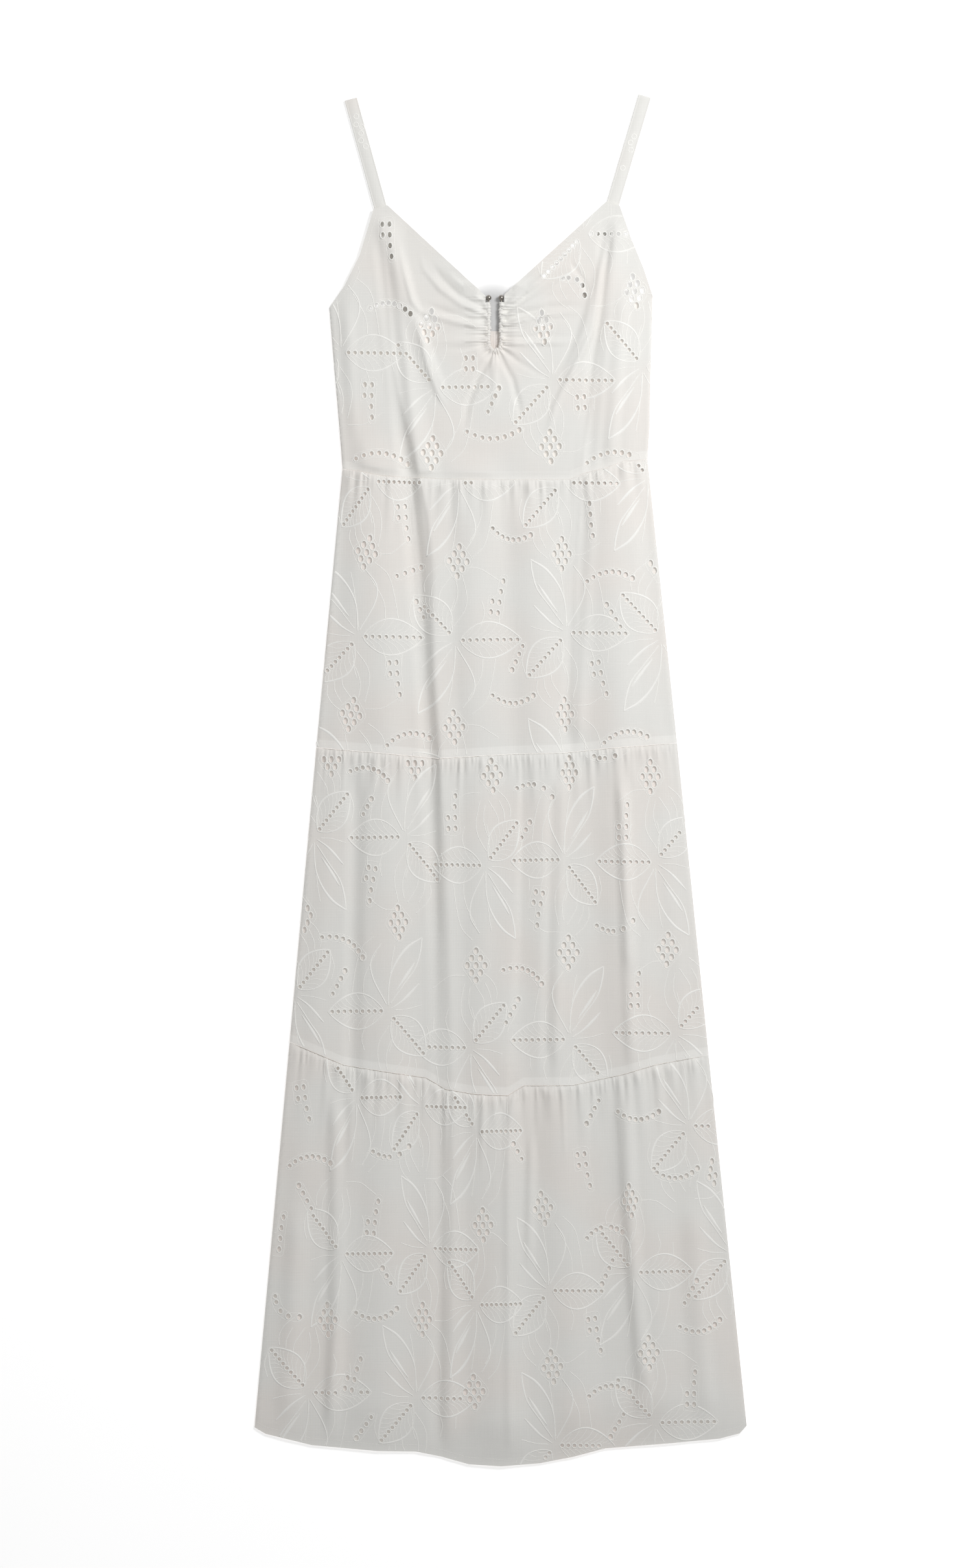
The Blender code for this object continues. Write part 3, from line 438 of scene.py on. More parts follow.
def fold_lift(x, y):
    """How far the long folds lift the front."""
    lift = np.zeros_like(x)
    for top_y, bottom_y, top_x, middle_x, bottom_x, left_half, right_half, height in FOLDS:
        t = (top_y - y) / (top_y - bottom_y)
        middle = top_x * (1 - t) * (1 - 2 * t) + middle_x * 4 * t * (1 - t) + bottom_x * t * (2 * t - 1)
        across = x - middle
        across = np.clip(across / np.where(across > 0, right_half, left_half), -1.0, 1.0)
        ends = smooth((top_y - y) / FOLD_FADE) * smooth((y - bottom_y) / FOLD_FADE)
        lift += height * ends * 0.5 * (1 + np.cos(math.pi * across))
    return FOLD_SHARE * lift


def crease_lift(x, y):
    """How far the pressed creases lift the cloth: a slope up from the left that ends in a sharp crest."""
    lift = np.zeros_like(x)
    for height, left, right, points in CREASES:
        places = np.array(points)[::-1]
        crest = np.interp(y, places[:, 0], places[:, 1])
        across = x - crest
        up = np.clip(1 + across / left, 0.0, 1.0) ** 2
        down = 1 - smooth(across / right)
        ends = smooth((places[-1, 0] - y) / CREASE_FADE) * smooth((y - places[0, 0]) / CREASE_FADE)
        lift += height * ends * np.where(across < 0, up, down)
    return lift


def front_lift(x, y, left, right):
    """The height of the front above its flat lie: a soft swell, and the folds on it."""
    within = np.minimum(x - left, right - x)
    folds = fold_lift(x, y) + crease_lift(x, y)
    return np.maximum(PUFF * smooth(within / PUFF_WIDTH) + folds * smooth(within / FOLD_INSET), 0.0)


def slack(x, y):
    """The small unevenness of cloth that lies loose."""
    wander = np.sin(x / 17.0 + 1.3 * np.sin(y / 61.0)) * np.sin(y / 43.0 + 0.8 * np.sin(x / 29.0))
    return SLACK * wander + 0.5 * SLACK * np.sin(x / 7.3 + y / 31.0) * np.sin(y / 23.0 - x / 53.0)


def gathers(share, below, count, height, length, onset, seed):
    """The lift of a gathered edge, at a share of the width and a distance below the seam."""
    steps = np.arange(1, count)
    uneven = steps + 0.27 * np.sin(2.4 * steps + seed) + 0.15 * np.sin(5.3 * steps + seed)
    places = np.concatenate([[0], uneven / count, [1]])
    index = np.clip(np.searchsorted(places, share) - 1, 0, count - 1)
    width = places[index + 1] - places[index]
    phase = (share - places[index]) / width
    own_height = height * (1 + 0.6 * np.sin(1.9 * index + 0.8 + seed)) * np.minimum(width * count, 1.2)
    own_length = length * (1 + 0.5 * np.sin(2.7 * index + seed))
    fade = (0.15 + 0.85 * smooth(below / onset)) * (1 - smooth(below / own_length))
    return own_height * fade * (0.5 - 0.5 * np.cos(2 * math.pi * phase)) ** 0.8


def hem_share(low_line, x, y):
    """How much of its lift a tier keeps: all of it, but for the last stretch above the hem."""
    if low_line is not HEM:
        return np.ones_like(x)
    return HEM_LIE + (1 - HEM_LIE) * smooth((y - on_line(HEM, x)) / HEM_REACH)


def bodice_lie(x, y):
    """The height of the bodice above its flat lie, but for the gathers round the keyhole."""
    left, right = side_edges(np.minimum(y, SIDE_TOP))
    within = np.minimum(x - left, right - x)
    rim = smooth(within / PUFF_WIDTH)
    leg_y = np.maximum(y, SLOT_FOOT)
    away = np.maximum(np.hypot(x - KEYHOLE_X, y - leg_y) - SLOT_EDGE, 0.0)
    swell = front_lift(x, y, -250.0, 250.0) - PUFF
    flat_foot = smooth((y - on_line(WAIST, x) - 1.0) / 8.0)
    lift = PUFF + swell * smooth(away / KEYHOLE_SWELL) + slack(x, y)
    return lift * rim * smooth(away / KEYHOLE_FLAT) * (0.5 + 0.5 * flat_foot)


def bodice_back_under(x, y):
    """The back lies under the front's folds, in fine pleats near the keyhole."""
    near = 1 - smooth((np.abs(x - KEYHOLE_X) - 8.0) / BACK_PLEATS_HALF)
    pleats = 0.5 + 0.5 * np.sin(2 * math.pi * (x + 0.4 * np.sin(y / 17.0)) / BACK_PLEAT)
    pleated = BACK_PLEAT_DEPTH * pleats * near * smooth((y - 360.0) / 60.0)
    return BACK_FLOOR + np.maximum(bodice_lie(x, y) - BACK_DROP, 0.0) + pleated


def tier_place(top_line, x, y):
    """Where points of a tier lie: its edges, their share of the width, how far below its seam, how far in."""
    left, right = side_edges(y)
    share = np.clip((x - left) / (right - left), 0.0, 1.0)
    below = np.maximum(on_line(top_line, x) - y, 0.0)
    return left, right, share, below, smooth(np.minimum(share, 1 - share) / SIDE_SHARE)


def tier_back_surface(top_line, low_line, count, length):
    """The function that gives the lower side of a tier's back: the same folds, and gathers of its own."""
    def under(x, y):
        left, right, share, below, rim = tier_place(top_line, x, y)
        drawn = gathers(share, below, count, BACK_GATHER, length, GATHER_ONSET, BACK_PHASE)
        tuck = BACK_TUCK * np.exp(-(below / BACK_TUCK_WIDTH) ** 2)
        lift = (front_lift(x, y, left, right) + (slack(x, y) - tuck) * rim) * hem_share(low_line, x, y)
        return BACK_FLOOR + np.maximum(lift, 0.0) + drawn * rim
    return under


def grid(left, right, bottom, top, step_x, step_y):
    """Points in staggered rows over a rectangle."""
    rows = np.arange(bottom, top, step_y)
    columns = np.arange(left, right, step_x)
    x, y = np.meshgrid(columns, rows)
    x[1::2] += step_x / 2
    return np.stack([x.ravel(), y.ravel()], 1)


# The back cloth glows a little, painted light for the light that comes through the thin front. The bodice back
# glows more.
cotton_inside = cotton("cotton_voile_inside", "#e8e4df", "#e9e1dc", 1.1, 0.16)
bodice_inside = cotton("cotton_voile_bodice_inside", "#e8e4df", "#e9e1dc", 1.1, 0.25)

back_outline = refined(np.concatenate([
    WAIST + (0.0, SEAM_GAP / 2),
    [(side_edges(y)[1], y) for y in (360.0, 418.0, 481.8)],
    BACK_TOP[::-1],
    [(side_edges(y)[0], y) for y in (418.0, 360.0)],
]), OUTLINE_STEP)
fine = grid(KEYHOLE_X - 30, KEYHOLE_X + 30, 360.0, 460.0, 0.6, 4.0)
coarse = grid(-176.0, 156.0, 305.0, 490.0, 4.0, 6.0)
coarse = coarse[(np.abs(coarse[:, 0] - KEYHOLE_X) > 31) | (coarse[:, 1] < 358)]
inner = kept_inside(back_outline, np.concatenate([fine, coarse]), 0.5)
bodice_back, _ = cloth_mesh("bodice_back_cloth", back_outline, [], inner, bodice_back_under, bodice_inside)
# bare is 1 round the keyhole, where no front lies over the back, and there the painted glow is left off.
places = np.empty(3 * len(bodice_back.data.vertices), np.float32)
bodice_back.data.vertices.foreach_get("co", places)
x, y = places.reshape(-1, 3)[:, :2].T / MM
from_slot = np.hypot(x - KEYHOLE_X, y - np.maximum(y, SLOT_FOOT))
layer = bodice_back.data.attributes.new("bare", "FLOAT", "POINT")
layer.data.foreach_set("value", (1 - smooth((from_slot - 4.0) / 6.0)).astype(np.float32))
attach(bodice_back, "root")
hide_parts("back_bodice")

for name, top_line, low_line, count, height, length, cut_width, cut_length in TIERS:
    outline = tier_outline(top_line, low_line)
    inner = grid(-252.0, 252.0, outline[:, 1].min(), outline[:, 1].max(), 3.6, 6.0)
    inner = kept_inside(outline, inner, 1.5)
    under = tier_back_surface(top_line, low_line, count, length)
    back, _ = cloth_mesh(name + "_back_cloth", outline, [], inner, under, cotton_inside)
    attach(back, "root")
    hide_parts(name + "_back")


# Front of the dress: the bodice front and the fronts of the three tiers, of the same thin cotton.
# The front lifts a little off the back and hangs in long folds. Each tier is gathered into the seam above it.
FRONT_FLOOR = 1.8
FRONT_CLEAR = 0.3
ALLOWANCE = 8.0
ALLOWANCE_TONE = 0.32
SEAM_TUCK = 0.9
SEAM_TUCK_WIDTH = 2.0
SEAM_RIDGE = 0.55
TIER_RIDGE_WIDTH = 5.0
WAIST_RIDGE_WIDTH = 4.0
PUCKER = 3.4
GATHER_SHARE = 0.5
FINE_PITCH = 2.9
FINE_LIFT = 0.6
FINE_REACH = 15.0
ROLL_WIDTH = 2.4
ROLL_DROP = 1.25
HEM_ROLL = 0.8
HEM_ROLL_WIDTH = 16.0


def side_roll(x, y):
    """The front turns down at the side seams, to meet the back."""
    left, right = side_edges(y)
    within = np.minimum(x - left, right - x)
    return -ROLL_DROP * (1 - smooth(within / ROLL_WIDTH))


def tier_surface(top_line, low_line, count, height, length):
    """The function that gives a tier's lower side."""
    def under(x, y):
        left, right, share, below, rim = tier_place(top_line, x, y)
        above = np.maximum(y - on_line(low_line, x), 0.0)
        drawn = gathers(share, below, count, GATHER_SHARE * height, 0.85 * length, GATHER_ONSET, 0.0)
        drawn += gathers(share, below, round(1.9 * count), 0.22 * height, 0.4 * length, 4.0, 1.7)
        fine = gathers(share, below, round((right - left).mean() / FINE_PITCH), FINE_LIFT, FINE_REACH, 1.8, 0.6)
        drawn += fine * (0.62 + 0.38 * np.sin(x / 13.0 + 2 * np.sin(x / 41.0)))
        tuck = -SEAM_TUCK * np.exp(-(below / SEAM_TUCK_WIDTH) ** 2)
        puckers = 0.7 + 0.3 * np.sin(2 * math.pi * (x + 0.8 * np.sin(x / 9.0)) / PUCKER)
        ridge = 0.0 if low_line is HEM else SEAM_RIDGE * puckers * np.exp(-(above / TIER_RIDGE_WIDTH) ** 2)
        lift = (front_lift(x, y, left, right) + (drawn + slack(x, y)) * rim) * hem_share(low_line, x, y)
        roll = side_roll(x, y)
        if low_line is HEM:
            roll = np.maximum(roll - HEM_ROLL * (1 - smooth(above / HEM_ROLL_WIDTH)), -ROLL_DROP)
        return FRONT_FLOOR + FRONT_CLEAR + np.maximum(lift + (tuck + ridge) * rim, -0.2) + roll
    return under


def tier_doubled(low_line):
    """Where the seam allowance shows through the thin cloth as a lighter band. The hem has none."""
    tone = 0.0 if low_line is HEM else ALLOWANCE_TONE

    def doubled(x, y):
        return tone * (1 - smooth(y - on_line(low_line, x) - ALLOWANCE))
    return doubled


def tier_points(top_line, low_line, length):
    """The inner points of a tier: close rows under the gathers, then wider ones, and two at the allowance."""
    depth = top_line[:, 1].mean() - low_line[:, 1].mean()
    points = []
    dense = np.arange(0.9, FINE_REACH, 2.2)
    middling = np.arange(FINE_REACH + 1.0, 0.9 * length, 3.2)
    sparse = np.arange(0.9 * length, depth - 11.0, 5.0)
    rows = ((dense, 0.75), (middling, 1.6), (sparse, 2.5))
    for below, step in [(below, step) for part, step in rows for below in part]:
        width = top_line[-1, 0] - top_line[0, 0]
        shares = np.arange(0.5 * (len(points) % 2), width / step) * step / width
        x_top = top_line[0, 0] + shares * width
        x_low = low_line[0, 0] + shares * (low_line[-1, 0] - low_line[0, 0])
        down = below / depth
        y = on_line(top_line, x_top) * (1 - down) + on_line(low_line, x_low) * down
        points.append(np.stack([x_top + (x_low - x_top) * down, y], 1))
    for above in (2.0, 4.0, 6.2, ALLOWANCE, ALLOWANCE + 1.0):
        x = np.arange(low_line[0, 0] + 1.0, low_line[-1, 0], 2.5)
        points.append(np.stack([x, on_line(low_line, x) + above], 1))
    for inset in (0.8, 1.8):
        y = np.arange(low_line[0, 1], top_line[0, 1], 2.5)
        points.append(np.stack([side_edges(y)[0] + inset, y], 1))
        points.append(np.stack([side_edges(y)[1] - inset, y], 1))
    return np.concatenate(points)


# Broderie: the groups of eyelets that are cut through the front cloth.
# A leaf has a row of small ones along its middle. Between the leaves lie diamonds, flags, arcs and short rows.
LEAF_EYELETS = 9
LEAF_EYELET = 4.1
DIAMOND_ROWS = (1, 2, 3, 2, 1)
DIAMOND_STEP = (9.0, 7.4)
DIAMOND_EYELET = (5.2, 7.2)
DIAMONDS = {
    # panel: across, height, share of full width, lean in degrees
    "bodice": (
        (-72.7, 463.0, 0.95, -8), (43.3, 461.5, 0.85, 6), (-69.9, 333.4, 1.0, -3), (50.7, 340.0, 1.0, 2),
        (136.5, 498.5, 0.9, 8),
    ),
    "tier_1": (
        (-136.4, 231.9, 1.0, -12), (-43.2, 222.9, 1.0, -4), (62.3, 230.5, 0.85, 0), (161.0, 221.0, 0.9, 0),
        (-152.4, 66.8, 1.0, -10), (-47.5, 53.6, 1.0, 3), (65.4, 66.8, 0.8, 2),
    ),
    "tier_2": (
        (-172.5, 21.0, 0.85, 0), (-87.3, 17.0, 0.8, 0), (-8.7, 4.6, 0.95, 4), (69.9, 7.5, 0.75, 0),
        (152.5, 3.3, 0.9, 0), (-199.9, -138.2, 0.7, 0), (-104.2, -145.2, 0.85, 3), (-25.0, -188.9, 1.0, 0),
        (69.0, -175.8, 1.0, 0), (170.0, -172.9, 1.0, -3),
    ),
    "tier_3": (
        (-17.9, -453.5, 0.9, 2), (43.1, -436.8, 0.9, 8), (132.0, -428.5, 0.65, 6), (219.0, -403.5, 0.7, 14),
        (-176.1, -550.2, 0.85, 2), (-79.6, -550.2, 0.8, 0), (-26.9, -623.4, 1.0, 3), (52.7, -598.5, 0.95, 6),
        (151.0, -583.5, 0.95, 2),
    ),
}
FLAG_STEP = (7.2, 11.0)
FLAG_EYELET = (4.2, 6.0)
FLAG_PLACES = ((-0.5, 1.5), (0.5, 1.5), (-0.5, 0.5), (0.5, 0.5), (0.5, -0.5), (0.65, -1.5))
WHOLE = (0, 1, 2, 3, 4, 5)
BLOCK = (0, 1, 2, 3)
LINE = (1, 3, 4, 5)
FLAGS = {
    # panel: across, height, tail down (1) or up (-1), lean in degrees, which of its eyelets show
    "bodice": (
        (-135.5, 386.5, 1, -2, WHOLE), (-32.0, 413.6, 1, 0, BLOCK), (82.5, 374.0, 1, 4, BLOCK),
        (-116.5, 550.0, 1, 2, WHOLE),
    ),
    "tier_1": (
        (-100.1, 262.0, 1, 4, WHOLE), (-4.2, 187.0, -1, -8, WHOLE), (88.0, 265.0, 1, 4, LINE),
        (-108.7, 103.0, 1, 4, WHOLE), (99.7, 103.0, 1, 12, WHOLE),
    ),
    "tier_2": (
        (-50.3, -33.0, -1, 2, WHOLE), (-134.5, -106.0, 1, -12, WHOLE), (36.0, -131.0, 1, -12, WHOLE),
        (124.1, -42.0, -1, 0, WHOLE), (136.0, -213.6, -1, 0, WHOLE),
    ),
    "tier_3": (
        (-202.2, -330.0, 1, 8, WHOLE), (-131.1, -445.2, -1, -6, WHOLE), (84.0, -398.0, 1, 8, WHOLE),
        (95.0, -566.0, 1, 8, WHOLE), (-151.2, -605.1, -1, -14, WHOLE), (193.6, -620.1, -1, 0, WHOLE),
        (-227.7, -461.8, -1, -6, WHOLE),
    ),
}
ARC_COUNT = 8
ARC_STEP = 6.6
ARC_RISE = 8.0
ARC_EYELETS = ((4.2, 4.4), (5.0, 6.2))
ARCS = {
    # panel: across, height, bowed up (1) or down (-1), lean in degrees, length share
    "bodice": (
        (-112.0, 482.0, 1, -8, 0.9), (-7.5, 352.0, -1, 2, 1.15), (-120.6, 329.0, 1, -6, 1.15),
        (112.9, 330.0, 1, 6, 1.1), (77.0, 506.0, 1, -38, 0.6),
    ),
    "tier_1": (
        (10.4, 249.0, -1, -10, 0.85), (110.9, 208.0, 1, 4, 1.0), (12.4, 82.0, -1, 0, 0.9),
        (-94.8, 43.0, 1, 10, 0.95), (126.8, 45.0, 1, 8, 0.95),
    ),
    "tier_2": (
        (-133.1, 8.0, 1, -14, 0.85), (35.5, -9.0, 1, -14, 0.8), (108.3, 26.0, -1, 8, 0.8),
        (-159.6, -167.0, 1, -26, 1.0), (23.6, -197.0, 1, -20, 0.9), (116.9, -150.0, -1, 8, 0.8),
    ),
    "tier_3": (
        (-194.5, -388.0, 1, 4, 0.9), (-111.2, -380.0, -1, 8, 0.8), (-126.2, -545.0, -1, 6, 0.9),
        (140.3, -342.0, -1, 0, 0.9), (180.3, -402.0, -1, 6, 0.9), (105.4, -460.0, 1, 10, 0.8),
        (203.7, -558.0, -1, 10, 0.9), (110.4, -622.0, 1, 6, 0.9), (-220.0, -540.0, -1, -40, 0.7),
    ),
}
SHORT_STEP = 8.8
SHORT_EYELETS = ((5.0, 6.2), (3.8, 4.6))
SHORT_ROWS = {
    # panel: across, height, direction in degrees, number of eyelets
    "bodice": ((-7.5, 387.5, -115, 4), (-152.0, 512.0, -115, 3)),
    "tier_1": ((-93.4, 212.3, 200, 4), (-82.2, 173.9, -65, 3), (17.0, 124.3, 66, 4), (114.9, 167.3, -58, 4)),
    "tier_2": (
        (-135.8, -27.1, -118, 3), (25.6, -50.9, -118, 3), (-164.9, -206.3, -118, 4), (11.7, -235.4, -118, 4),
    ),
    "tier_3": (
        (-199.4, -425.2, -62, 4), (-139.5, -660.1, 55, 4), (108.7, -501.9, 66, 4), (193.6, -521.8, -118, 4),
        (93.7, -338.6, 62, 4), (17.1, -378.6, -62, 3), (118.7, -658.4, 60, 4), (-116.2, -505.2, -62, 3),
    ),
}
FLOWERS = {
    # panel: across, height, facing (-1 mirrored), way up (-1 turned over), share of full width
    "bodice": (
        (-162.9, 435.8, 1, 1, 0.95), (-67.0, 400.1, 1, -1, 0.95), (52.7, 408.0, 1, 1, 0.95),
        (144.0, 421.9, 1, -1, 0.9), (84.0, 557.0, 1, 1, 1.0),
    ),
    "tier_1": (
        (-130.5, 304.0, 1, 1, 0.75), (-43.0, 302.5, 1, -1, 0.85), (61.0, 303.0, 1, 1, 0.9),
        (150.0, 308.0, 1, -1, 0.9), (-145.7, 146.1, 1, 1, 1.0), (-46.5, 142.2, 1, -1, 1.0),
        (66.6, 150.1, 1, 1, 0.95), (163.8, 144.8, 1, -1, 1.0), (-152.0, -18.0, 1, 1, 1.0),
        (-47.0, -18.0, 1, -1, 1.0), (66.0, -12.0, 1, 1, 1.0),
    ),
    "tier_2": (
        (-190.0, -58.0, -1, -1, 0.85), (-98.1, -58.2, -1, 1, 0.85), (-15.4, -87.3, -1, -1, 0.8),
        (64.6, -81.3, -1, 1, 0.8), (157.9, -84.0, -1, -1, 0.9), (-210.0, -219.0, -1, -1, 0.85),
        (-114.6, -235.4, -1, 1, 0.9), (-30.6, -273.1, -1, -1, 0.85), (70.6, -264.5, -1, 1, 0.9),
        (178.3, -258.6, -1, -1, 0.95),
    ),
    "tier_3": (
        (-147.0, -324.0, 1, -1, 0.7), (-81.0, -333.0, 1, 1, 0.7), (-24.7, -358.4, 1, -1, 0.7),
        (191.6, -353.0, 1, 1, 0.9), (-162.9, -483.4, 1, -1, 0.8), (-72.9, -478.0, 1, 1, 0.75),
        (-24.7, -535.0, 1, -1, 0.7), (48.7, -520.4, 1, 1, 0.85), (135.4, -501.9, 1, -1, 0.9),
        (233.9, -483.4, 1, 1, 0.9), (-196.0, -624.9, 1, -1, 0.95), (-86.2, -630.2, 1, 1, 0.9),
        (55.4, -678.5, 1, 1, 0.9), (157.2, -655.3, 1, -1, 0.95),
    ),
}
LEAVES = (
    # foot x, foot y, tip x, tip y, full width, from the flower's middle
    (5.0, 0.0, 68.0, -1.0, 37.0),
    (-4.5, -6.0, -42.0, -46.0, 35.0),
)
EYELET_ROOM = 0.8
EYELET_INSET = 1.6


def turned(x, y, dx, dy, degrees):
    """Points at dx, dy from x, y, after a turn."""
    cos, sin = math.cos(math.radians(degrees)), math.sin(math.radians(degrees))
    return np.stack([x + dx * cos - dy * sin, y + dx * sin + dy * cos], -1)


def placed(flower, points):
    """Points of the flower's own drawing, moved to one flower of the cloth."""
    x, y, facing, way_up, share = flower
    points = np.asarray(points, float)
    return np.stack([x + facing * share * points[:, 0], y + way_up * points[:, 1]], 1)


def centred(count):
    """Places 1 apart with their middle at 0."""
    return np.arange(count) - (count - 1) / 2


def between(small, large, share):
    """An eyelet's width and height, some way from a small one to a large one."""
    return np.array(small) + (np.array(large) - small) * share


def eyelets_of(panel):
    """Every eyelet of a panel: its middle, width and height, the largest groups first."""
    found = []
    for x, y, share, lean in DIAMONDS[panel]:
        size = (DIAMOND_EYELET[0] * (0.4 + 0.6 * share), DIAMOND_EYELET[1])
        for row, count in enumerate(DIAMOND_ROWS):
            for place in centred(count):
                dx = place * DIAMOND_STEP[0] * share
                found.append((*turned(x, y, dx, (2 - row) * DIAMOND_STEP[1], lean), *size))
    for x, y, tail, lean, shown in FLAGS[panel]:
        for dx, dy in (FLAG_PLACES[place] for place in shown):
            found.append((*turned(x, y, dx * FLAG_STEP[0], tail * dy * FLAG_STEP[1], lean), *FLAG_EYELET))
    for x, y, bow, lean, share in ARCS[panel]:
        for place in range(ARC_COUNT):
            along = 2 * place / (ARC_COUNT - 1) - 1
            dx = along * 0.5 * (ARC_COUNT - 1) * ARC_STEP * share
            middle = turned(x, y, dx, bow * ARC_RISE * (0.5 - along * along), lean)
            found.append((*middle, *between(*ARC_EYELETS, (1 + along) / 2)))
    for x, y, direction, count in SHORT_ROWS[panel]:
        for number, place in enumerate(centred(count)):
            middle = turned(x, y, place * SHORT_STEP, 0.0, direction)
            found.append((*middle, *between(*SHORT_EYELETS, number / (count - 1))))
    for flower in FLOWERS[panel]:
        size = (LEAF_EYELET * (0.55 + 0.45 * flower[4]), LEAF_EYELET)
        for foot_x, foot_y, tip_x, tip_y, _ in LEAVES:
            for place in range(LEAF_EYELETS):
                along = 0.05 + 0.88 * place / (LEAF_EYELETS - 1)
                middle = (foot_x + (tip_x - foot_x) * along, foot_y + (tip_y - foot_y) * along)
                found.append((*placed(flower, [middle])[0], *size))
    return found


def circle(x, y, wide, high, sides):
    """The corners of an upright oval."""
    angles = 2 * math.pi * np.arange(sides) / sides
    return np.stack([x + 0.5 * wide * np.cos(angles), y + 0.5 * high * np.sin(angles)], 1)


def clear_eyelets(one, other):
    """Whether two eyelets leave enough cloth between them."""
    x, y = one[0] - other[0], one[1] - other[1]
    wide, high = 0.5 * (one[2] + other[2]) + EYELET_ROOM, 0.5 * (one[3] + other[3]) + EYELET_ROOM
    return math.hypot(x / wide, y / high) >= 1


def eyelet_loops(panel, outline):
    """The cut edges of the eyelets that lie whole inside a panel and clear of each other."""
    kept = []
    loops = []
    for eyelet in eyelets_of(panel):
        if all(clear_eyelets(eyelet, other) for other in kept):
            loop = circle(*eyelet, 10 if eyelet[3] > 4 else 8)
            if inside(outline, loop).all() and clear_of(outline, loop, EYELET_INSET).all():
                kept.append(eyelet)
                loops.append(loop)
    return loops


def off_eyelets(points, loops):
    """The points that do not lie on an eyelet or its rim."""
    keep = np.ones(len(points), bool)
    for loop in loops:
        middle = loop.mean(0)
        wide, high = np.ptp(loop, axis=0) / 2 + 0.55
        keep &= ((points[:, 0] - middle[0]) / wide) ** 2 + ((points[:, 1] - middle[1]) / high) ** 2 > 1
    return points[keep]


def panel_front(name, node, outline, inner, under, doubled):
    """One front panel: its cloth with the eyelets cut, and its place in the dress."""
    loops = eyelet_loops(name, outline)
    inner = off_eyelets(kept_inside(outline, inner, 0.55), loops)
    piece, tree = cloth_mesh(name + "_front_cloth", outline, loops, inner, under, cotton_voile, doubled)
    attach(piece, "root")
    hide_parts(node)
    return piece, tree, loops


cotton_voile = cotton("cotton_voile", "#e9e8e4", "#eae6e1", 1.1, 0.0)
fronts = {}
for name, top_line, low_line, count, height, length, cut_width, cut_length in TIERS:
    outline = tier_outline(top_line, low_line)
    under = tier_surface(top_line, low_line, count, height, length)
    inner = tier_points(top_line, low_line, length)
    made = panel_front(name, name + "_front", outline, inner, under, tier_doubled(low_line))
    fronts[name] = (*made, under, (cut_width, cut_length))


# Bodice front: one piece with a V neck, drawn up round the keyhole in short gathers and longer rays.
# Two slanting creases run from the straps towards the bust, where the cloth was pressed over a soft cup.
SLOT_HALF = 3.9
CASING_RADIUS = 2.5
LEG = SLOT_HALF + CASING_RADIUS
NECK_LEFT_FOOT = 494.0
NECK_RIGHT_FOOT = 495.3
LEFT_ARMHOLE = np.array(((-143.7, 535.2), (-159.1, 504.3), (-174.8, 481.8)))
RIGHT_ARMHOLE = np.array(((133.2, 552.3), (145.8, 522.0), (155.2, 494.0)))
STRAP_WIDTH = 13.0
STRAP_CORNER = 7.3
STRAPS = (
    # side, base x, base y, top x, top y
    ("left", -122.4, 584.4, -152.8, 694.9),
    ("right", 114.5, 587.6, 147.3, 698.2),
)
LEG_GATHERS = 6
BEND_GATHERS = 4
SLOT_GATHERS = 2 * LEG_GATHERS + BEND_GATHERS
SLOT_GATHER_HEIGHT = 2.3
FINE_GATHERS = 2.4
FINE_HEIGHT = 1.5
FINE_LENGTH = 8.0
CASING_STEP = 1.9
RING_POINTS = 14
TUBE_OVERLAP = 1.9
TUBE_TOP = 487.0
SLOT_GATHER_LENGTH = 24.0
SLOT_FOLDS = 7
SLOT_FOLD_HEIGHT = 1.0
SLOT_FOLD_LENGTH = 84.0
KEYHOLE_NEAR = 32.0
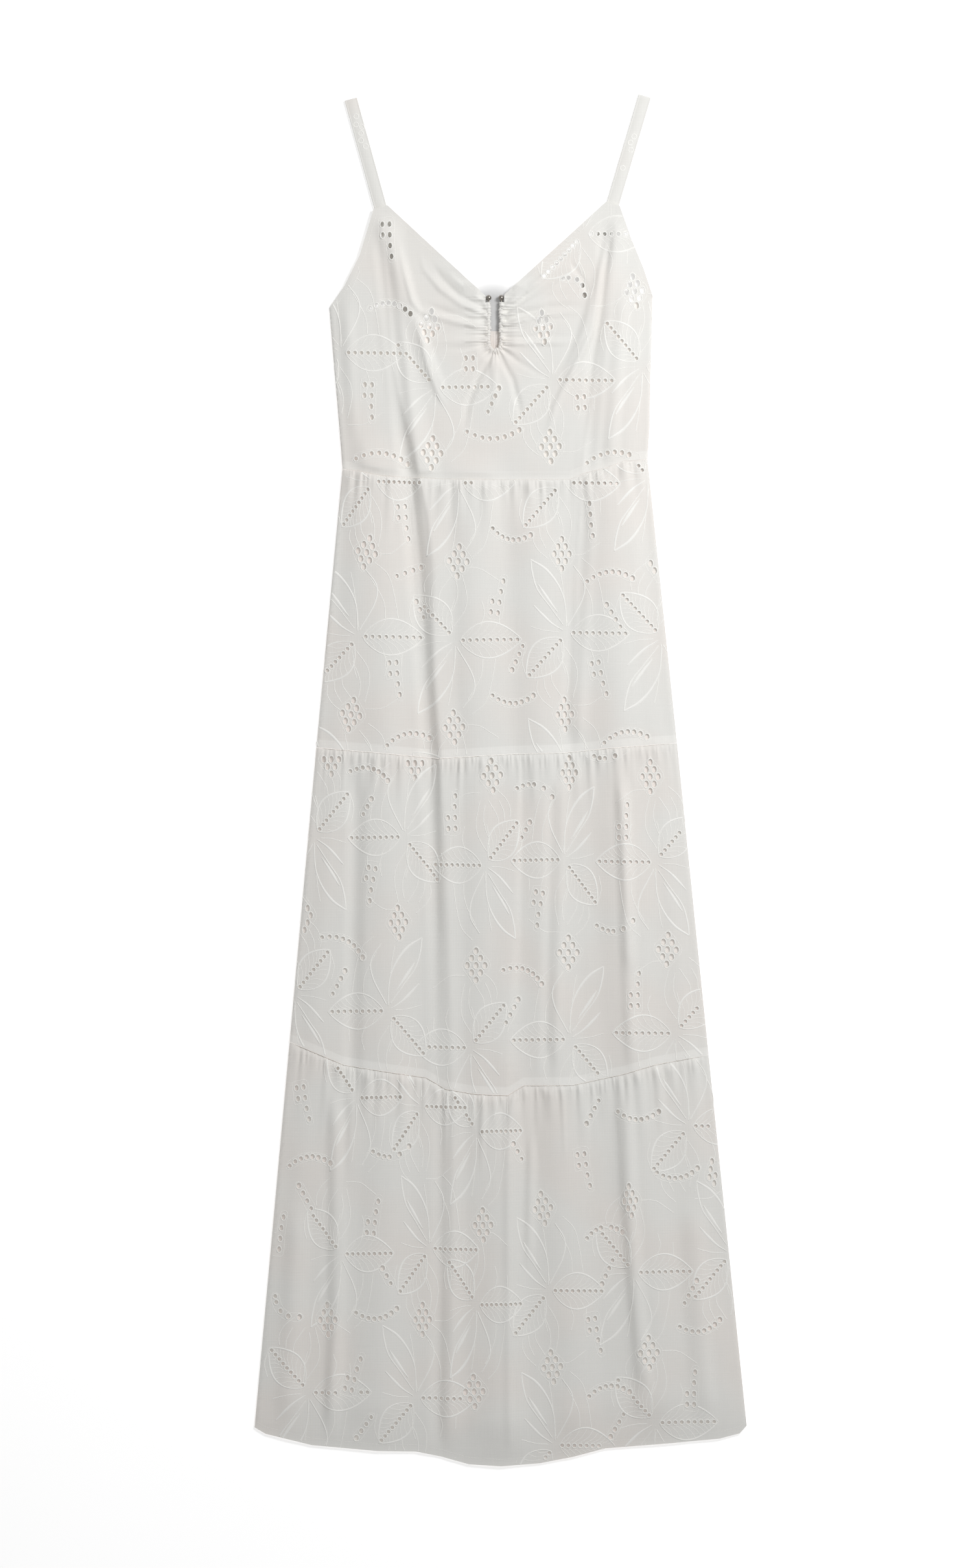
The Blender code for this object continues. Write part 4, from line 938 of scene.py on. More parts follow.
RIDGES = (
    # height (below 0 for a trough), half width, then the points it runs through
    (2.2, 4.2, ((-108.3, 564.3), (-100.5, 530.5), (-94.7, 506.8), (-89.7, 488.2), (-81.2, 477.1),
                (-60.9, 471.0), (-27.1, 462.5), (-16.0, 461.0))),
    (-1.5, 4.5, ((-86.0, 492.0), (-76.0, 485.0), (-55.9, 477.4), (-28.8, 469.0), (-17.0, 467.0))),
    (1.7, 4.0, ((-84.6, 544.0), (-77.8, 520.3), (-60.9, 500.0), (-39.0, 484.1), (-17.0, 475.4))),
    (-1.8, 4.5, ((-76.2, 534.5), (-59.2, 510.5), (-42.3, 494.3), (-19.4, 482.1))),
    (1.5, 3.5, ((-62.6, 524.4), (-35.6, 500.8), (-17.0, 487.9))),
    (1.3, 3.0, ((-70.0, 444.0), (-49.1, 446.6), (-28.8, 447.6), (-17.0, 450.0))),
    (-1.2, 4.0, ((-58.0, 438.0), (-36.0, 440.0), (-18.0, 443.0))),
    (1.4, 4.0, ((-52.5, 375.0), (-64.3, 395.0), (-74.5, 422.0), (-80.0, 446.0), (-86.0, 470.0))),
    (-1.9, 5.5, ((-9.2, 433.8), (-16.7, 420.8), (-23.7, 408.8), (-33.9, 381.7), (-39.0, 345.3))),
    (1.3, 6.0, ((-6.8, 432.0), (-6.0, 400.0), (-6.8, 370.0))),
    (-1.9, 5.0, ((-2.1, 433.8), (4.8, 420.8), (11.8, 408.8), (18.5, 381.7), (22.9, 355.4))),
    (-1.0, 4.5, ((2.7, 439.6), (16.8, 427.4), (37.1, 415.3), (55.2, 406.2))),
    (1.9, 3.0, ((5.0, 445.3), (20.0, 444.6), (35.4, 444.9), (79.4, 447.6), (90.0, 450.0))),
    (-1.4, 4.0, ((5.0, 451.5), (22.0, 451.0), (44.0, 452.0), (74.0, 455.0))),
    (2.2, 3.4, ((5.0, 463.5), (21.9, 468.6), (42.2, 473.7), (70.0, 476.5), (93.2, 478.1))),
    (-1.8, 4.5, ((6.0, 470.0), (18.5, 474.0), (49.0, 482.5), (88.8, 485.1))),
    (1.7, 4.0, ((6.4, 484.5), (28.7, 501.4), (49.0, 517.7), (69.0, 535.0))),
    (-1.8, 4.5, ((6.8, 478.1), (27.0, 493.3), (47.2, 507.4), (62.0, 520.0))),
    (1.5, 4.5, ((7.0, 473.0), (30.0, 487.0), (52.0, 500.0), (70.0, 516.0), (82.0, 535.0))),
    (-1.2, 4.0, ((70.0, 530.0), (84.0, 510.0), (88.0, 494.0))),
    (2.4, 5.0, ((115.9, 577.4), (108.0, 550.8), (101.4, 517.0), (98.0, 486.5), (92.9, 456.1), (79.4, 429.0),
                (65.9, 402.0), (55.7, 381.7), (46.0, 345.0))),
)
SLOT_RINGS = (0.2, 1.2, 2.3, 3.6, 5.0, 6.8, 8.8, 11.2, 14.0, 17.0, 20.5)


def slot_place(x, y):
    """The distance from the keyhole's cut edge, and how many gathers along that edge a point lies."""
    away_leg = np.abs(x - KEYHOLE_X) - SLOT_EDGE
    down = LEG_GATHERS * np.minimum(1.0, (NECK_LEFT_FOOT - y) / (NECK_LEFT_FOOT - SLOT_FOOT))
    along_leg = np.where(x < KEYHOLE_X, down, SLOT_GATHERS - down)
    away_bend = np.hypot(x - KEYHOLE_X, y - SLOT_FOOT) - SLOT_EDGE
    angle = np.arctan2(y - SLOT_FOOT, x - KEYHOLE_X)
    along_bend = LEG_GATHERS + BEND_GATHERS * (math.pi + angle) / math.pi
    leg = y > SLOT_FOOT
    return np.maximum(np.where(leg, away_leg, away_bend), 0.0), np.where(leg, along_leg, along_bend)


def slot_point(away, along):
    """The point at a distance from the keyhole's cut edge, some gathers along it."""
    across = SLOT_EDGE + away
    if along < LEG_GATHERS:
        return KEYHOLE_X - across, NECK_LEFT_FOOT - (NECK_LEFT_FOOT - SLOT_FOOT) * along / LEG_GATHERS
    if along > SLOT_GATHERS - LEG_GATHERS:
        back = (SLOT_GATHERS - along) / LEG_GATHERS
        return KEYHOLE_X + across, NECK_LEFT_FOOT - (NECK_LEFT_FOOT - SLOT_FOOT) * back
    angle = math.pi * (1 + (along - LEG_GATHERS) / BEND_GATHERS)
    return KEYHOLE_X + across * math.cos(angle), SLOT_FOOT + across * math.sin(angle)


def ridge_lift(x, y):
    """The ridges and troughs of drawn-up cloth that run out from the keyhole and down from the straps."""
    lift = np.zeros_like(x)
    for height, half, points in RIDGES:
        near = np.full_like(x, 1e3)
        place = np.zeros_like(x)
        runs = [math.dist(start, end) for start, end in zip(points, points[1:])]
        gone = 0.0
        for start, end, run in zip(points, points[1:], runs):
            dx, dy = (end[0] - start[0]) / run, (end[1] - start[1]) / run
            along = np.clip((x - start[0]) * dx + (y - start[1]) * dy, 0.0, run)
            away = np.hypot(x - start[0] - along * dx, y - start[1] - along * dy)
            place = np.where(away < near, (gone + along) / sum(runs), place)
            near = np.minimum(near, away)
            gone += run
        ends = smooth(place / 0.22) * smooth((1 - place) / 0.22)
        if math.dist(points[0], KEYHOLE_MIDDLE) < KEYHOLE_NEAR:
            ends = smooth((1 - place) / 0.5)
        if math.dist(points[-1], KEYHOLE_MIDDLE) < KEYHOLE_NEAR:
            ends = smooth(place / 0.5)
        lift += height * ends * 0.5 * (1 + np.cos(math.pi * np.minimum(near / half, 1.0)))
    return lift


def bodice_under(x, y):
    """The lower side of the bodice front: its lie, the ruching round the keyhole, and the ridges."""
    left, right = side_edges(np.minimum(y, SIDE_TOP))
    within = np.minimum(x - left, right - x)
    away, along = slot_place(x, y)
    near = np.exp(-2.2 * away / SLOT_GATHER_LENGTH)
    far = smooth(away / 14.0) * (1 - smooth(away / SLOT_FOLD_LENGTH))
    short = (0.5 - 0.5 * np.cos(2 * math.pi * along)) ** 0.8
    fine = 0.5 - 0.5 * np.cos(2 * math.pi * (FINE_GATHERS * along + 0.3 * np.sin(3.1 * along)))
    long = 0.5 - 0.5 * np.cos(2 * math.pi * SLOT_FOLDS * along / SLOT_GATHERS)
    ruching = SLOT_GATHER_HEIGHT * near * (0.7 * short + 0.2 * fine) + SLOT_FOLD_HEIGHT * far * long
    edge = CASING_STEP + FINE_HEIGHT * fine * (0.75 + 0.25 * np.sin(5.7 * along))
    ruching += edge * np.exp(-away / FINE_LENGTH)
    above = y - on_line(WAIST, x)
    ridge = SEAM_RIDGE * np.exp(-(above / WAIST_RIDGE_WIDTH) ** 2) * smooth(within / 8.0)
    roll = np.where(y < SIDE_TOP, side_roll(x, np.minimum(y, SIDE_TOP)), 0.0)
    lift = bodice_lie(x, y) + ruching + ridge_lift(x, y) * smooth(within / FOLD_INSET) + ridge
    return FRONT_FLOOR + FRONT_CLEAR + np.maximum(lift, 0.0) + roll


def strap_axes(row):
    """The base, direction, sideways direction and length of a strap's front run."""
    base = Vector(row[1:3])
    top = Vector(row[3:5])
    along = (top - base).normalized()
    return base, along, Vector((along.y, -along.x)), (top - base).length


strap_corners = {}
for row in STRAPS:
    base, _, across, _ = strap_axes(row)
    strap_corners[row[0]] = [tuple(base - across * STRAP_CORNER), tuple(base + across * STRAP_CORNER)]
bodice_outline = refined(np.array([
    *(WAIST + (0.0, SEAM_GAP / 2)),
    *[(side_edges(y)[1], y) for y in (360.0, 418.0, 481.8)],
    *RIGHT_ARMHOLE[::-1],
    strap_corners["right"][1], strap_corners["right"][0],
    (KEYHOLE_X + SLOT_EDGE + 0.6, NECK_RIGHT_FOOT),
    *[slot_point(-TUBE_OVERLAP if slot_point(0.0, step / 6)[1] < TUBE_TOP else 0.3, step / 6)
      for step in range(6 * SLOT_GATHERS - 1, 0, -1)],
    (KEYHOLE_X - SLOT_EDGE - 0.6, NECK_LEFT_FOOT),
    strap_corners["left"][1], strap_corners["left"][0],
    *LEFT_ARMHOLE,
    *[(side_edges(y)[0], y) for y in (418.0, 360.0)],
]), OUTLINE_STEP)
rings = [slot_point(away, step / RING_POINTS)
         for away in SLOT_RINGS for step in range(1, RING_POINTS * SLOT_GATHERS)]
open_grid = grid(-176.0, 156.0, 305.0, 600.0, 2.2, 2.6)
open_grid = open_grid[slot_place(open_grid[:, 0], open_grid[:, 1])[0] > SLOT_RINGS[-1] + 1.2]
row_x = np.arange(-160, 150, 2.5)
allowance_rows = [np.stack([row_x, on_line(WAIST, row_x) + above], 1) for above in (ALLOWANCE, ALLOWANCE + 1.0)]
inner = np.concatenate([np.array(rings), open_grid, *allowance_rows])
made = panel_front("bodice", "front_bodice", bodice_outline, inner, bodice_under, tier_doubled(WAIST))
fronts["bodice"] = (*made, bodice_under, (345.0, 295.0))


# Embroidery thread: white satin stitch that stands a little above the cloth.
# It rims each eyelet, draws the leaves, petals and stems, and has a soft gloss that plain cotton lacks.
THREAD_STEP = 2.4
THREAD_SHARP = 70.0
BROAD = 1.5
NARROW_PROFILE = ((-0.5, -0.12, 0.0), (0.0, 0.0, 1.0), (0.5, -0.12, 0.0))
BROAD_PROFILE = (
    # sideways in widths, rise above the cloth, and the share of the thread's height on top of that
    (-0.5, -0.12, 0.0), (-0.28, 0.0, 0.8), (0.28, 0.0, 0.8), (0.5, -0.12, 0.0),
)
RIM_PROFILE = (
    # out from the cut edge, rise above the cloth
    (-0.22, -0.45), (0.05, 0.3), (0.7, 0.34), (1.05, -0.1),
)
THIN = 1.1
THIN_HEIGHT = 0.34
SATIN_HEIGHT = 0.42
STITCH_PITCH = 0.8
VEINS = 9
VEIN_WIDTH = 0.8
VEIN_HEIGHT = 0.24
BORDER_WIDTH = 0.75
BORDER_HEIGHT = 0.24
BORDER_ROOM = 5.6
FLAG_BORDER = (
    # across and up, in steps of the flag's eyelets
    (-1.05, 2.05), (0.0, 2.15), (1.1, 2.0), (1.1, 0.5), (1.15, -1.0), (1.1, -2.0),
    (0.3, -2.0), (0.0, -1.0), (-0.1, 0.0), (-1.05, 0.0), (-1.1, 1.0), (-1.05, 2.05),
)
BLOCK_BORDER = (
    (-1.05, 2.05), (0.0, 2.15), (1.05, 2.05), (1.1, 1.0), (1.05, -0.05),
    (0.0, -0.1), (-1.05, -0.05), (-1.1, 1.0), (-1.05, 2.05),
)
LINE_BORDER = (
    (0.0, 2.0), (0.5, 2.15), (1.0, 2.0), (1.1, 0.0), (1.15, -1.9),
    (0.6, -2.1), (0.1, -1.9), (0.0, 0.0), (0.0, 2.0),
)
BORDERS = {WHOLE: FLAG_BORDER, BLOCK: BLOCK_BORDER, LINE: LINE_BORDER}
PETALS = (
    # points of a satin line from the flower's middle, and its width at each
    ((0.0, 6.0, 1.0), (-1.3, 30.7, 1.3), (-8.5, 49.0, 2.0), (-21.6, 64.7, 3.0), (-38.0, 74.5, 1.6)),
    ((-3.0, 8.0, 0.9), (-17.6, 27.0, 1.2), (-30.7, 44.0, 1.6), (-36.3, 61.0, 2.0), (-38.0, 74.5, 1.4)),
    ((-9.0, 21.0, 0.6), (-16.0, 30.0, 2.6), (-22.9, 39.3, 3.3), (-30.0, 49.4, 0.8)),
    ((-3.3, 2.5, 0.7), (-15.0, 9.5, 2.0), (-24.0, 17.3, 3.0), (-34.6, 27.8, 1.0)),
    ((2.0, 7.0, 1.2), (17.3, 33.9, 1.5), (19.3, 52.2, 1.4), (7.9, 68.7, 1.0)),
)
STEMS = (
    ((28.1, 19.0), (27.4, 32.0), (22.9, 43.8), (13.0, 60.0)),
    ((41.2, 18.6), (37.2, 42.5), (30.7, 63.4), (17.0, 75.8)),
    ((1.0, 9.8), (-3.9, 49.0), (-7.2, 66.0)),
    ((-1.3, -14.4), (9.8, -30.7), (11.8, -46.4), (7.2, -66.6)),
    ((-5.2, -26.0), (0.7, -38.6), (2.6, -50.3), (0.7, -62.0)),
    ((-16.3, -42.5), (-15.0, -50.3), (-8.5, -60.0), (-3.6, -66.6)),
    ((-24.2, -45.7), (-22.9, -55.5), (-17.0, -66.7)),
    ((-30.7, -49.0), (-31.4, -58.2), (-25.5, -68.6), (-14.4, -77.4)),
    ((45.0, -17.6), (44.4, -30.7)),
    ((45.0, -60.8), (37.2, -66.0), (24.2, -73.2), (7.2, -73.8)),
    ((26.0, -16.0), (30.0, -28.0), (27.0, -40.0)),
    ((-42.0, -46.0), (-47.0, -30.0), (-44.0, -16.0)),
    ((-8.0, 1.0), (-22.0, 2.0), (-38.0, 6.0)),
    ((-3.0, -9.0), (-4.5, -28.0), (-1.0, -42.0)),
)


def curve_through(points, step):
    """Evenly spaced points on a smooth curve through some points."""
    points = np.asarray(points, float)
    ends = np.concatenate([[2 * points[0] - points[1]], points, [2 * points[-1] - points[-2]]])
    parts = []
    for a, b, c, d in zip(ends, ends[1:], ends[2:], ends[3:]):
        count = max(2, math.ceil(np.hypot(*(c - b)[:2]) / step))
        t = np.arange(count)[:, None] / count
        square, cube = 2 * a - 5 * b + 4 * c - d, 3 * b - a - 3 * c + d
        parts.append(0.5 * (2 * b + (c - a) * t + square * t ** 2 + cube * t ** 3))
    return np.concatenate([*parts, points[-1:]])


def tube_faces(first, stations, sides, shut):
    """The faces of a tube: its two ends shut, or the last station joined to the first."""
    faces = []
    for station in range(stations - 1 if shut else stations):
        here, there = first + station * sides, first + (station + 1) % stations * sides
        for side in range(sides):
            after = (side + 1) % sides
            faces.append((here + side, here + after, there + after, there + side))
    if shut:
        faces.append(tuple(first + side for side in reversed(range(sides))))
        faces.append(tuple(first + (stations - 1) * sides + side for side in range(sides)))
    return faces


def closed_piece(name, verts, faces, material, sharp):
    """A smooth object from points in millimetres, with its faces turned outwards and sharp edges kept."""
    mesh = bpy.data.meshes.new(name)
    mesh.from_pydata(np.array(verts) * MM, [], faces)
    shape = bmesh.new()
    shape.from_mesh(mesh)
    bmesh.ops.recalc_face_normals(shape, faces=shape.faces)
    shape.to_mesh(mesh)
    shape.free()
    mesh.shade_smooth()
    if sharp:
        mesh.set_sharp_from_angle(angle=math.radians(sharp))
    mesh.materials.append(material)
    made = bpy.data.objects.new(name, mesh)
    bpy.context.collection.objects.link(made)
    return made


class Threads:
    """Collects closed strips of thread that lie on one panel's cloth."""

    def __init__(self, tree, under):
        self.tree = tree
        self.under = under
        self.verts = []
        self.faces = []
        self.lengths = []

    def cloth_height(self, x, y):
        """The height of the cloth's upper side, or None where there is none."""
        hit = self.tree.ray_cast(Vector((x, y, 100.0)), Vector((0.0, 0.0, -1.0)))
        return None if hit[0] is None else hit[0].z

    def lay(self, line, widths, height):
        """A strip along a line of points, left out wherever there is no cloth under it."""
        line = np.asarray(line, float)
        widths = np.broadcast_to(widths, len(line))
        run = []
        gone = 0.0
        for index, (x, y) in enumerate(line):
            z = self.cloth_height(x, y)
            if index:
                gone += math.hypot(*(line[index] - line[index - 1]))
            if z is not None:
                ahead = line[min(index + 1, len(line) - 1)] - line[max(index - 1, 0)]
                run.append((x, y, z, ahead, widths[index], gone))
            if run and (z is None or index == len(line) - 1):
                self.strip(run, height)
                run = []

    def strip(self, run, height):
        """One unbroken strip. Each place is a point, the direction there, a width and the length so far."""
        if len(run) < 2:
            return
        profile = BROAD_PROFILE if max(place[4] for place in run) > BROAD else NARROW_PROFILE
        self.faces += tube_faces(len(self.verts), len(run), len(profile), True)
        for x, y, z, ahead, width, gone in run:
            across = np.array((-ahead[1], ahead[0])) / (np.hypot(*ahead) + 1e-9)
            for share, rise, of_height in profile:
                px, py = x + across[0] * share * width, y + across[1] * share * width
                own = self.cloth_height(px, py) if width > BROAD else z
                self.verts.append((px, py, (z if own is None else own) + rise + of_height * height))
                self.lengths.append(gone)

    def rim(self, loop):
        """The stitched rim of one eyelet, round its cut edge."""
        self.faces += tube_faces(len(self.verts), len(loop), len(RIM_PROFILE), False)
        middle = loop.mean(0)
        heights = self.under(loop[:, 0], loop[:, 1]) + CLOTH
        for index, (corner, z) in enumerate(zip(loop, heights)):
            radius = np.hypot(*(corner - middle))
            out = (corner - middle) / radius
            for away, rise in RIM_PROFILE:
                self.verts.append((*(corner + out * away), z + rise))
                self.lengths.append(index * 2 * math.pi * radius / len(loop))

    def piece(self, name, material):
        """All the thread laid so far, as one object. The attribute along runs down each thread."""
        made = closed_piece(name, self.verts, self.faces, material, THREAD_SHARP)
        layer = made.data.attributes.new("along", "FLOAT", "POINT")
        layer.data.foreach_set("value", self.lengths)
        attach(made, "root")
        return made


def satin(name, colour):
    """Mercerised cotton thread laid side by side: smooth and softly glossy, with a ridge for each stitch.

    The stitches are 0.35 mm apart and are drawn 0.8 mm apart, or they would not show.
    """
    material, tree, out = new_material(name)
    along = add_node(tree, "Attribute", {}, attribute_name="along")
    turn = add_node(tree, "Math", {0: along.outputs["Fac"], 1: 2 * math.pi / STITCH_PITCH},
                    operation="MULTIPLY")
    ridge = add_node(tree, "Math", {0: turn.outputs["Value"]}, operation="SINE")
    bump = add_node(tree, "Bump", {"Height": ridge.outputs["Value"], "Strength": 0.3, "Distance": 0.0001})
    # Painted shade: each stitch is a little darker in the groove between its ridges.
    tone = mapped(tree, ridge.outputs["Value"], -1.0, 1.0, 0.96, 1.0)
    base = mixed(tree, 1.0, linear(colour), tone, blend_type="MULTIPLY")
    shader = add_node(tree, "BsdfPrincipled", {
        "Base Color": base, "Roughness": 0.55, "Sheen Weight": 0.1,
        "Specular IOR Level": 0.35, "Normal": bump.outputs["Normal"],
    })
    tree.links.new(shader.outputs["BSDF"], out.inputs["Surface"])
    return material


def leaf_lines(foot, tip, width):
    """A leaf's two sides and its veins, in the flower's own drawing."""
    foot, tip = np.array(foot), np.array(tip)
    along = tip - foot
    across = np.array((-along[1], along[0])) / np.hypot(*along)
    shares = np.linspace(0.0, 1.0, 30)
    half = 0.5 * width * np.sin(math.pi * shares ** 0.9) ** 0.85
    sides = [foot + shares[:, None] * along + side * half[:, None] * across for side in (-1, 1)]
    veins = []
    for vein in range(VEINS):
        start = 0.06 + 0.8 * vein / (VEINS - 1)
        end = min(start + 0.2 * math.sin(math.pi * min(start + 0.12, 1.0)) + 0.05, 0.98)
        reach = 0.97 * np.interp(end, shares, half)
        for side in (-1, 1):
            veins.append([
                foot + start * along + side * 2.6 * across,
                foot + (start + 0.6 * (end - start)) * along + side * 0.5 * reach * across,
                foot + end * along + side * reach * across,
            ])
    return sides, veins


def directions(line):
    """The direction along a line at each of its points, and the one to its left."""
    ahead = np.gradient(np.asarray(line, float), axis=0)
    ahead /= np.hypot(*ahead.T)[:, None]
    return ahead, np.stack([-ahead[:, 1], ahead[:, 0]], 1)


def beside_row(points, away):
    """A closed line that keeps its distance from a row of eyelets."""
    ahead, across = directions(points)
    one_side, other_side = points + away * across, points - away * across
    end, start = points[-1] + away * ahead[-1], points[0] - away * ahead[0]
    return [*one_side, end, *other_side[::-1], start, one_side[0]]


def borders_of(panel):
    """The closed lines stitched round the diamonds, flags, arcs and short rows of eyelets."""
    lines = []
    for x, y, share, lean in DIAMONDS[panel]:
        dx = np.array([0, 0.5, 1, 0.5, 0, -0.5, -1, -0.5, 0]) * DIAMOND_STEP[0] * share
        dy = np.array([2, 1, 0, -1, -2, -1, 0, 1, 2]) * DIAMOND_STEP[1]
        grown = 1 + BORDER_ROOM / np.hypot(dx, dy)
        lines.append(turned(x, y, dx * grown, dy * grown, lean))
    for x, y, tail, lean, shown in FLAGS[panel]:
        corners = np.array(BORDERS[shown])
        lines.append(turned(x, y, corners[:, 0] * FLAG_STEP[0], tail * corners[:, 1] * FLAG_STEP[1], lean))
    for x, y, bow, lean, share in ARCS[panel]:
        along = np.linspace(-1.0, 1.0, ARC_COUNT)
        dx = along * 0.5 * (ARC_COUNT - 1) * ARC_STEP * share
        row = turned(x, y, dx, bow * ARC_RISE * (0.5 - along ** 2), lean)
        lines.append(beside_row(row, BORDER_ROOM - 1.2))
    for x, y, direction, count in SHORT_ROWS[panel]:
        places = centred(count) * SHORT_STEP
        lines.append(beside_row(turned(x, y, places, 0.0 * places, direction), BORDER_ROOM - 1.0))
    return lines


satin_thread = satin("mercerised_thread", "#f8f7f3")
threads = {}
for name, (_, tree, loops, under, _) in fronts.items():
    store = Threads(tree, under)
    for loop in loops:
        store.rim(loop)
    for flower in FLOWERS[name]:
        for foot_x, foot_y, tip_x, tip_y, width in LEAVES:
            sides, veins = leaf_lines((foot_x, foot_y), (tip_x, tip_y), width)
            for side in sides:
                taper = 0.9 + 1.2 * np.sin(math.pi * np.linspace(0, 1, len(side)) ** 1.6)
                store.lay(placed(flower, side), taper, SATIN_HEIGHT)
            for vein in veins:
                store.lay(placed(flower, curve_through(vein, THREAD_STEP)), VEIN_WIDTH, VEIN_HEIGHT)
        for line in PETALS:
            fine_line = curve_through(line, THREAD_STEP)
            store.lay(placed(flower, fine_line[:, :2]), fine_line[:, 2], SATIN_HEIGHT)
        for stem in STEMS:
            store.lay(placed(flower, curve_through(stem, THREAD_STEP)), THIN, THIN_HEIGHT)
    for line in borders_of(name):
        store.lay(curve_through(line, THREAD_STEP), BORDER_WIDTH, BORDER_HEIGHT)
    threads[name] = store


# Sewing: the straight stitching that holds the seams, the hem and the turned edges.
# Each stitch is a short thread of its own, 2.3 mm long, sunk a little into the cloth.
STITCH_LENGTH = 2.3
STITCH_REPEAT = 3.1
STITCH_WIDTH = 0.45
STITCH_HEIGHT = 0.16
HEM_STITCH = 7.0
NECK_STITCH = 4.6


def distances(line):
    """How far along a line each of its points lies."""
    return np.concatenate([[0.0], np.cumsum(np.hypot(*np.diff(line, axis=0).T))])


def points_on(line, places):
    """The points of a line that lie at some distances from its start."""
    gone = distances(line)
    return np.stack([np.interp(places, gone, line[:, 0]), np.interp(places, gone, line[:, 1])], 1)


def sew(store, line):
    """A row of stitches along a line of points."""
    for start in np.arange(0.6, distances(line)[-1] - STITCH_LENGTH, STITCH_REPEAT):
        ends = np.array((start, start + STITCH_LENGTH / 2, start + STITCH_LENGTH))
        store.lay(points_on(line, ends), STITCH_WIDTH, STITCH_HEIGHT)


hem_x = np.arange(HEM[0, 0] + 1.5, HEM[-1, 0] - 1.0, 2.0)
sew(threads["tier_3"], np.stack([hem_x, on_line(HEM, hem_x) + HEM_STITCH], 1))
left_corner, right_corner = strap_corners["left"], strap_corners["right"]
left_foot = (KEYHOLE_X - SLOT_EDGE - 0.6, NECK_LEFT_FOOT)
right_foot = (KEYHOLE_X + SLOT_EDGE + 0.6, NECK_RIGHT_FOOT)
edges = (
    (left_corner[1], left_foot),
    (right_foot, right_corner[0]),
    (right_corner[1], *RIGHT_ARMHOLE),
    (*LEFT_ARMHOLE[::-1], left_corner[0]),
)
for edge in edges:
    edge = np.asarray(edge, float)
    line = points_on(edge, np.arange(3.0, distances(edge)[-1] - 3.0, 2.0))
    sew(threads["bodice"], line - NECK_STITCH * directions(line)[1])
for name, store in threads.items():
    sewn = store.piece(name + "_embroidery", satin_thread)
    cut_width, cut_length = fronts[name][4]
    back = "bodice_back_cloth" if name == "bodice" else name + "_back_cloth"


# Shoulder straps: a folded and stitched band of the same cotton, sewn to the bodice's points.
# Each runs over the shoulder: the front run lies on the back run and the fold is pressed square.
STRAP_FOLD_STEPS = 8
STRAP_RUN_STEP = 3.0
STRAP_STITCH_INSET = 1.6
BAND = 1.3
BAND_CORNER = 0.35
BAND_CROWN = 0.06
STRAP_STITCH_DIP = 0.18
STRAP_SHARP = 50.0
STRAP_BACK = BACK_FLOOR + BAND / 2
STRAP_FRONT = FRONT_FLOOR + 0.1 + BAND / 2
STRAP_RINGS = {
    # strap: distance from its base, sideways
    "left": ((64.0, 1.6), (71.0, -1.4), (78.0, 0.6), (84.0, 3.0), (88.0, -2.0), (96.0, 0.4)),
    "right": ((38.0, -1.0), (58.0, 1.8), (65.0, -0.8), (72.0, 1.0)),
}
STRAP_RING = 4.2


def band_profile():
    """The strap's cross-section, with round corners and a dip along each row of stitches."""
    profile = []
    for side, start in ((1, -0.5), (-1, 0.5)):
        for step in range(5):
            angle = math.pi * (start + step / 4)
            profile.append((side * (STRAP_WIDTH / 2 - BAND_CORNER) + BAND_CORNER * math.cos(angle),
                            0.5 * BAND * math.sin(angle)))
        inset = STRAP_STITCH_INSET
        for edge, away, rise in (
            (1, inset - 0.5, 0.0), (1, inset, -STRAP_STITCH_DIP), (1, inset + 0.5, 0.0),
            (1, STRAP_WIDTH / 2, BAND_CROWN),
            (-1, inset + 0.5, 0.0), (-1, inset, -STRAP_STITCH_DIP), (-1, inset - 0.5, 0.0),
        ):
            profile.append((edge * side * (STRAP_WIDTH / 2 - away), side * (0.5 * BAND + rise)))
    return profile


def make_strap(row):
    """One strap, from the back's top edge over the fold down to the bodice's point, and its cut length."""
    base, along, across, length = strap_axes(row)
    far = 0.0
    while (base - along * far).y > on_line(BACK_TOP, (base - along * far).x) - 2.0:
        far += 0.5
    turn = (STRAP_FRONT - STRAP_BACK) / 2
    fold = length - turn - BAND / 2
    path = [(place, STRAP_BACK) for place in np.arange(-far, fold, STRAP_RUN_STEP)]
    for step in range(STRAP_FOLD_STEPS + 1):
        angle = math.pi * step / STRAP_FOLD_STEPS
        path.append((fold + turn * math.sin(angle), (STRAP_BACK + STRAP_FRONT) / 2 - turn * math.cos(angle)))
    path += [(place, STRAP_FRONT) for place in (*np.arange(fold - STRAP_RUN_STEP, 0.2, -STRAP_RUN_STEP), 0.2)]
    profile = band_profile()
    verts = []
    for (gone, z), (da, dz) in zip(path, directions(path)[0]):
        for sideways, out in profile:
            place = base + along * (gone + dz * out) + across * sideways
            verts.append((place.x, place.y, z - da * out))
    faces = tube_faces(0, len(path), len(profile), True)
    strap = closed_piece("strap_" + row[0] + "_band", verts, faces, cotton_voile, STRAP_SHARP)
    return strap, length + far + length


for row in STRAPS:
    strap, strap_cut = make_strap(row)
    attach(strap, "root")
    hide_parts("strap_" + row[0])
    base, along, across, _ = strap_axes(row)
    rings = Threads(None, lambda x, y: np.full_like(x, STRAP_FRONT + BAND / 2 - CLOTH))
    for far, sideways in STRAP_RINGS[row[0]]:
        middle = base + along * far + across * sideways
        rings.rim(circle(*middle, STRAP_RING, STRAP_RING, 10))
    sewn = rings.piece("strap_" + row[0] + "_embroidery", satin_thread)


# Keyhole casing: a narrow tube of the same cotton that binds the slot, pushed up in small puckers on its wire.
# Its bore is open at both ends, where the wire comes out.
CASING_TOP = 487.4
CASING_PUCKERS = 38
CASING_SIDES = 20
PUCKER_STATIONS = 6
CASING_DEPTH = 0.95
CASING_STRAY = 0.3
CASING_RUFFLE = 0.45
CASING_BORE = 1.1
CASING_Z = FRONT_FLOOR + CASING_RADIUS


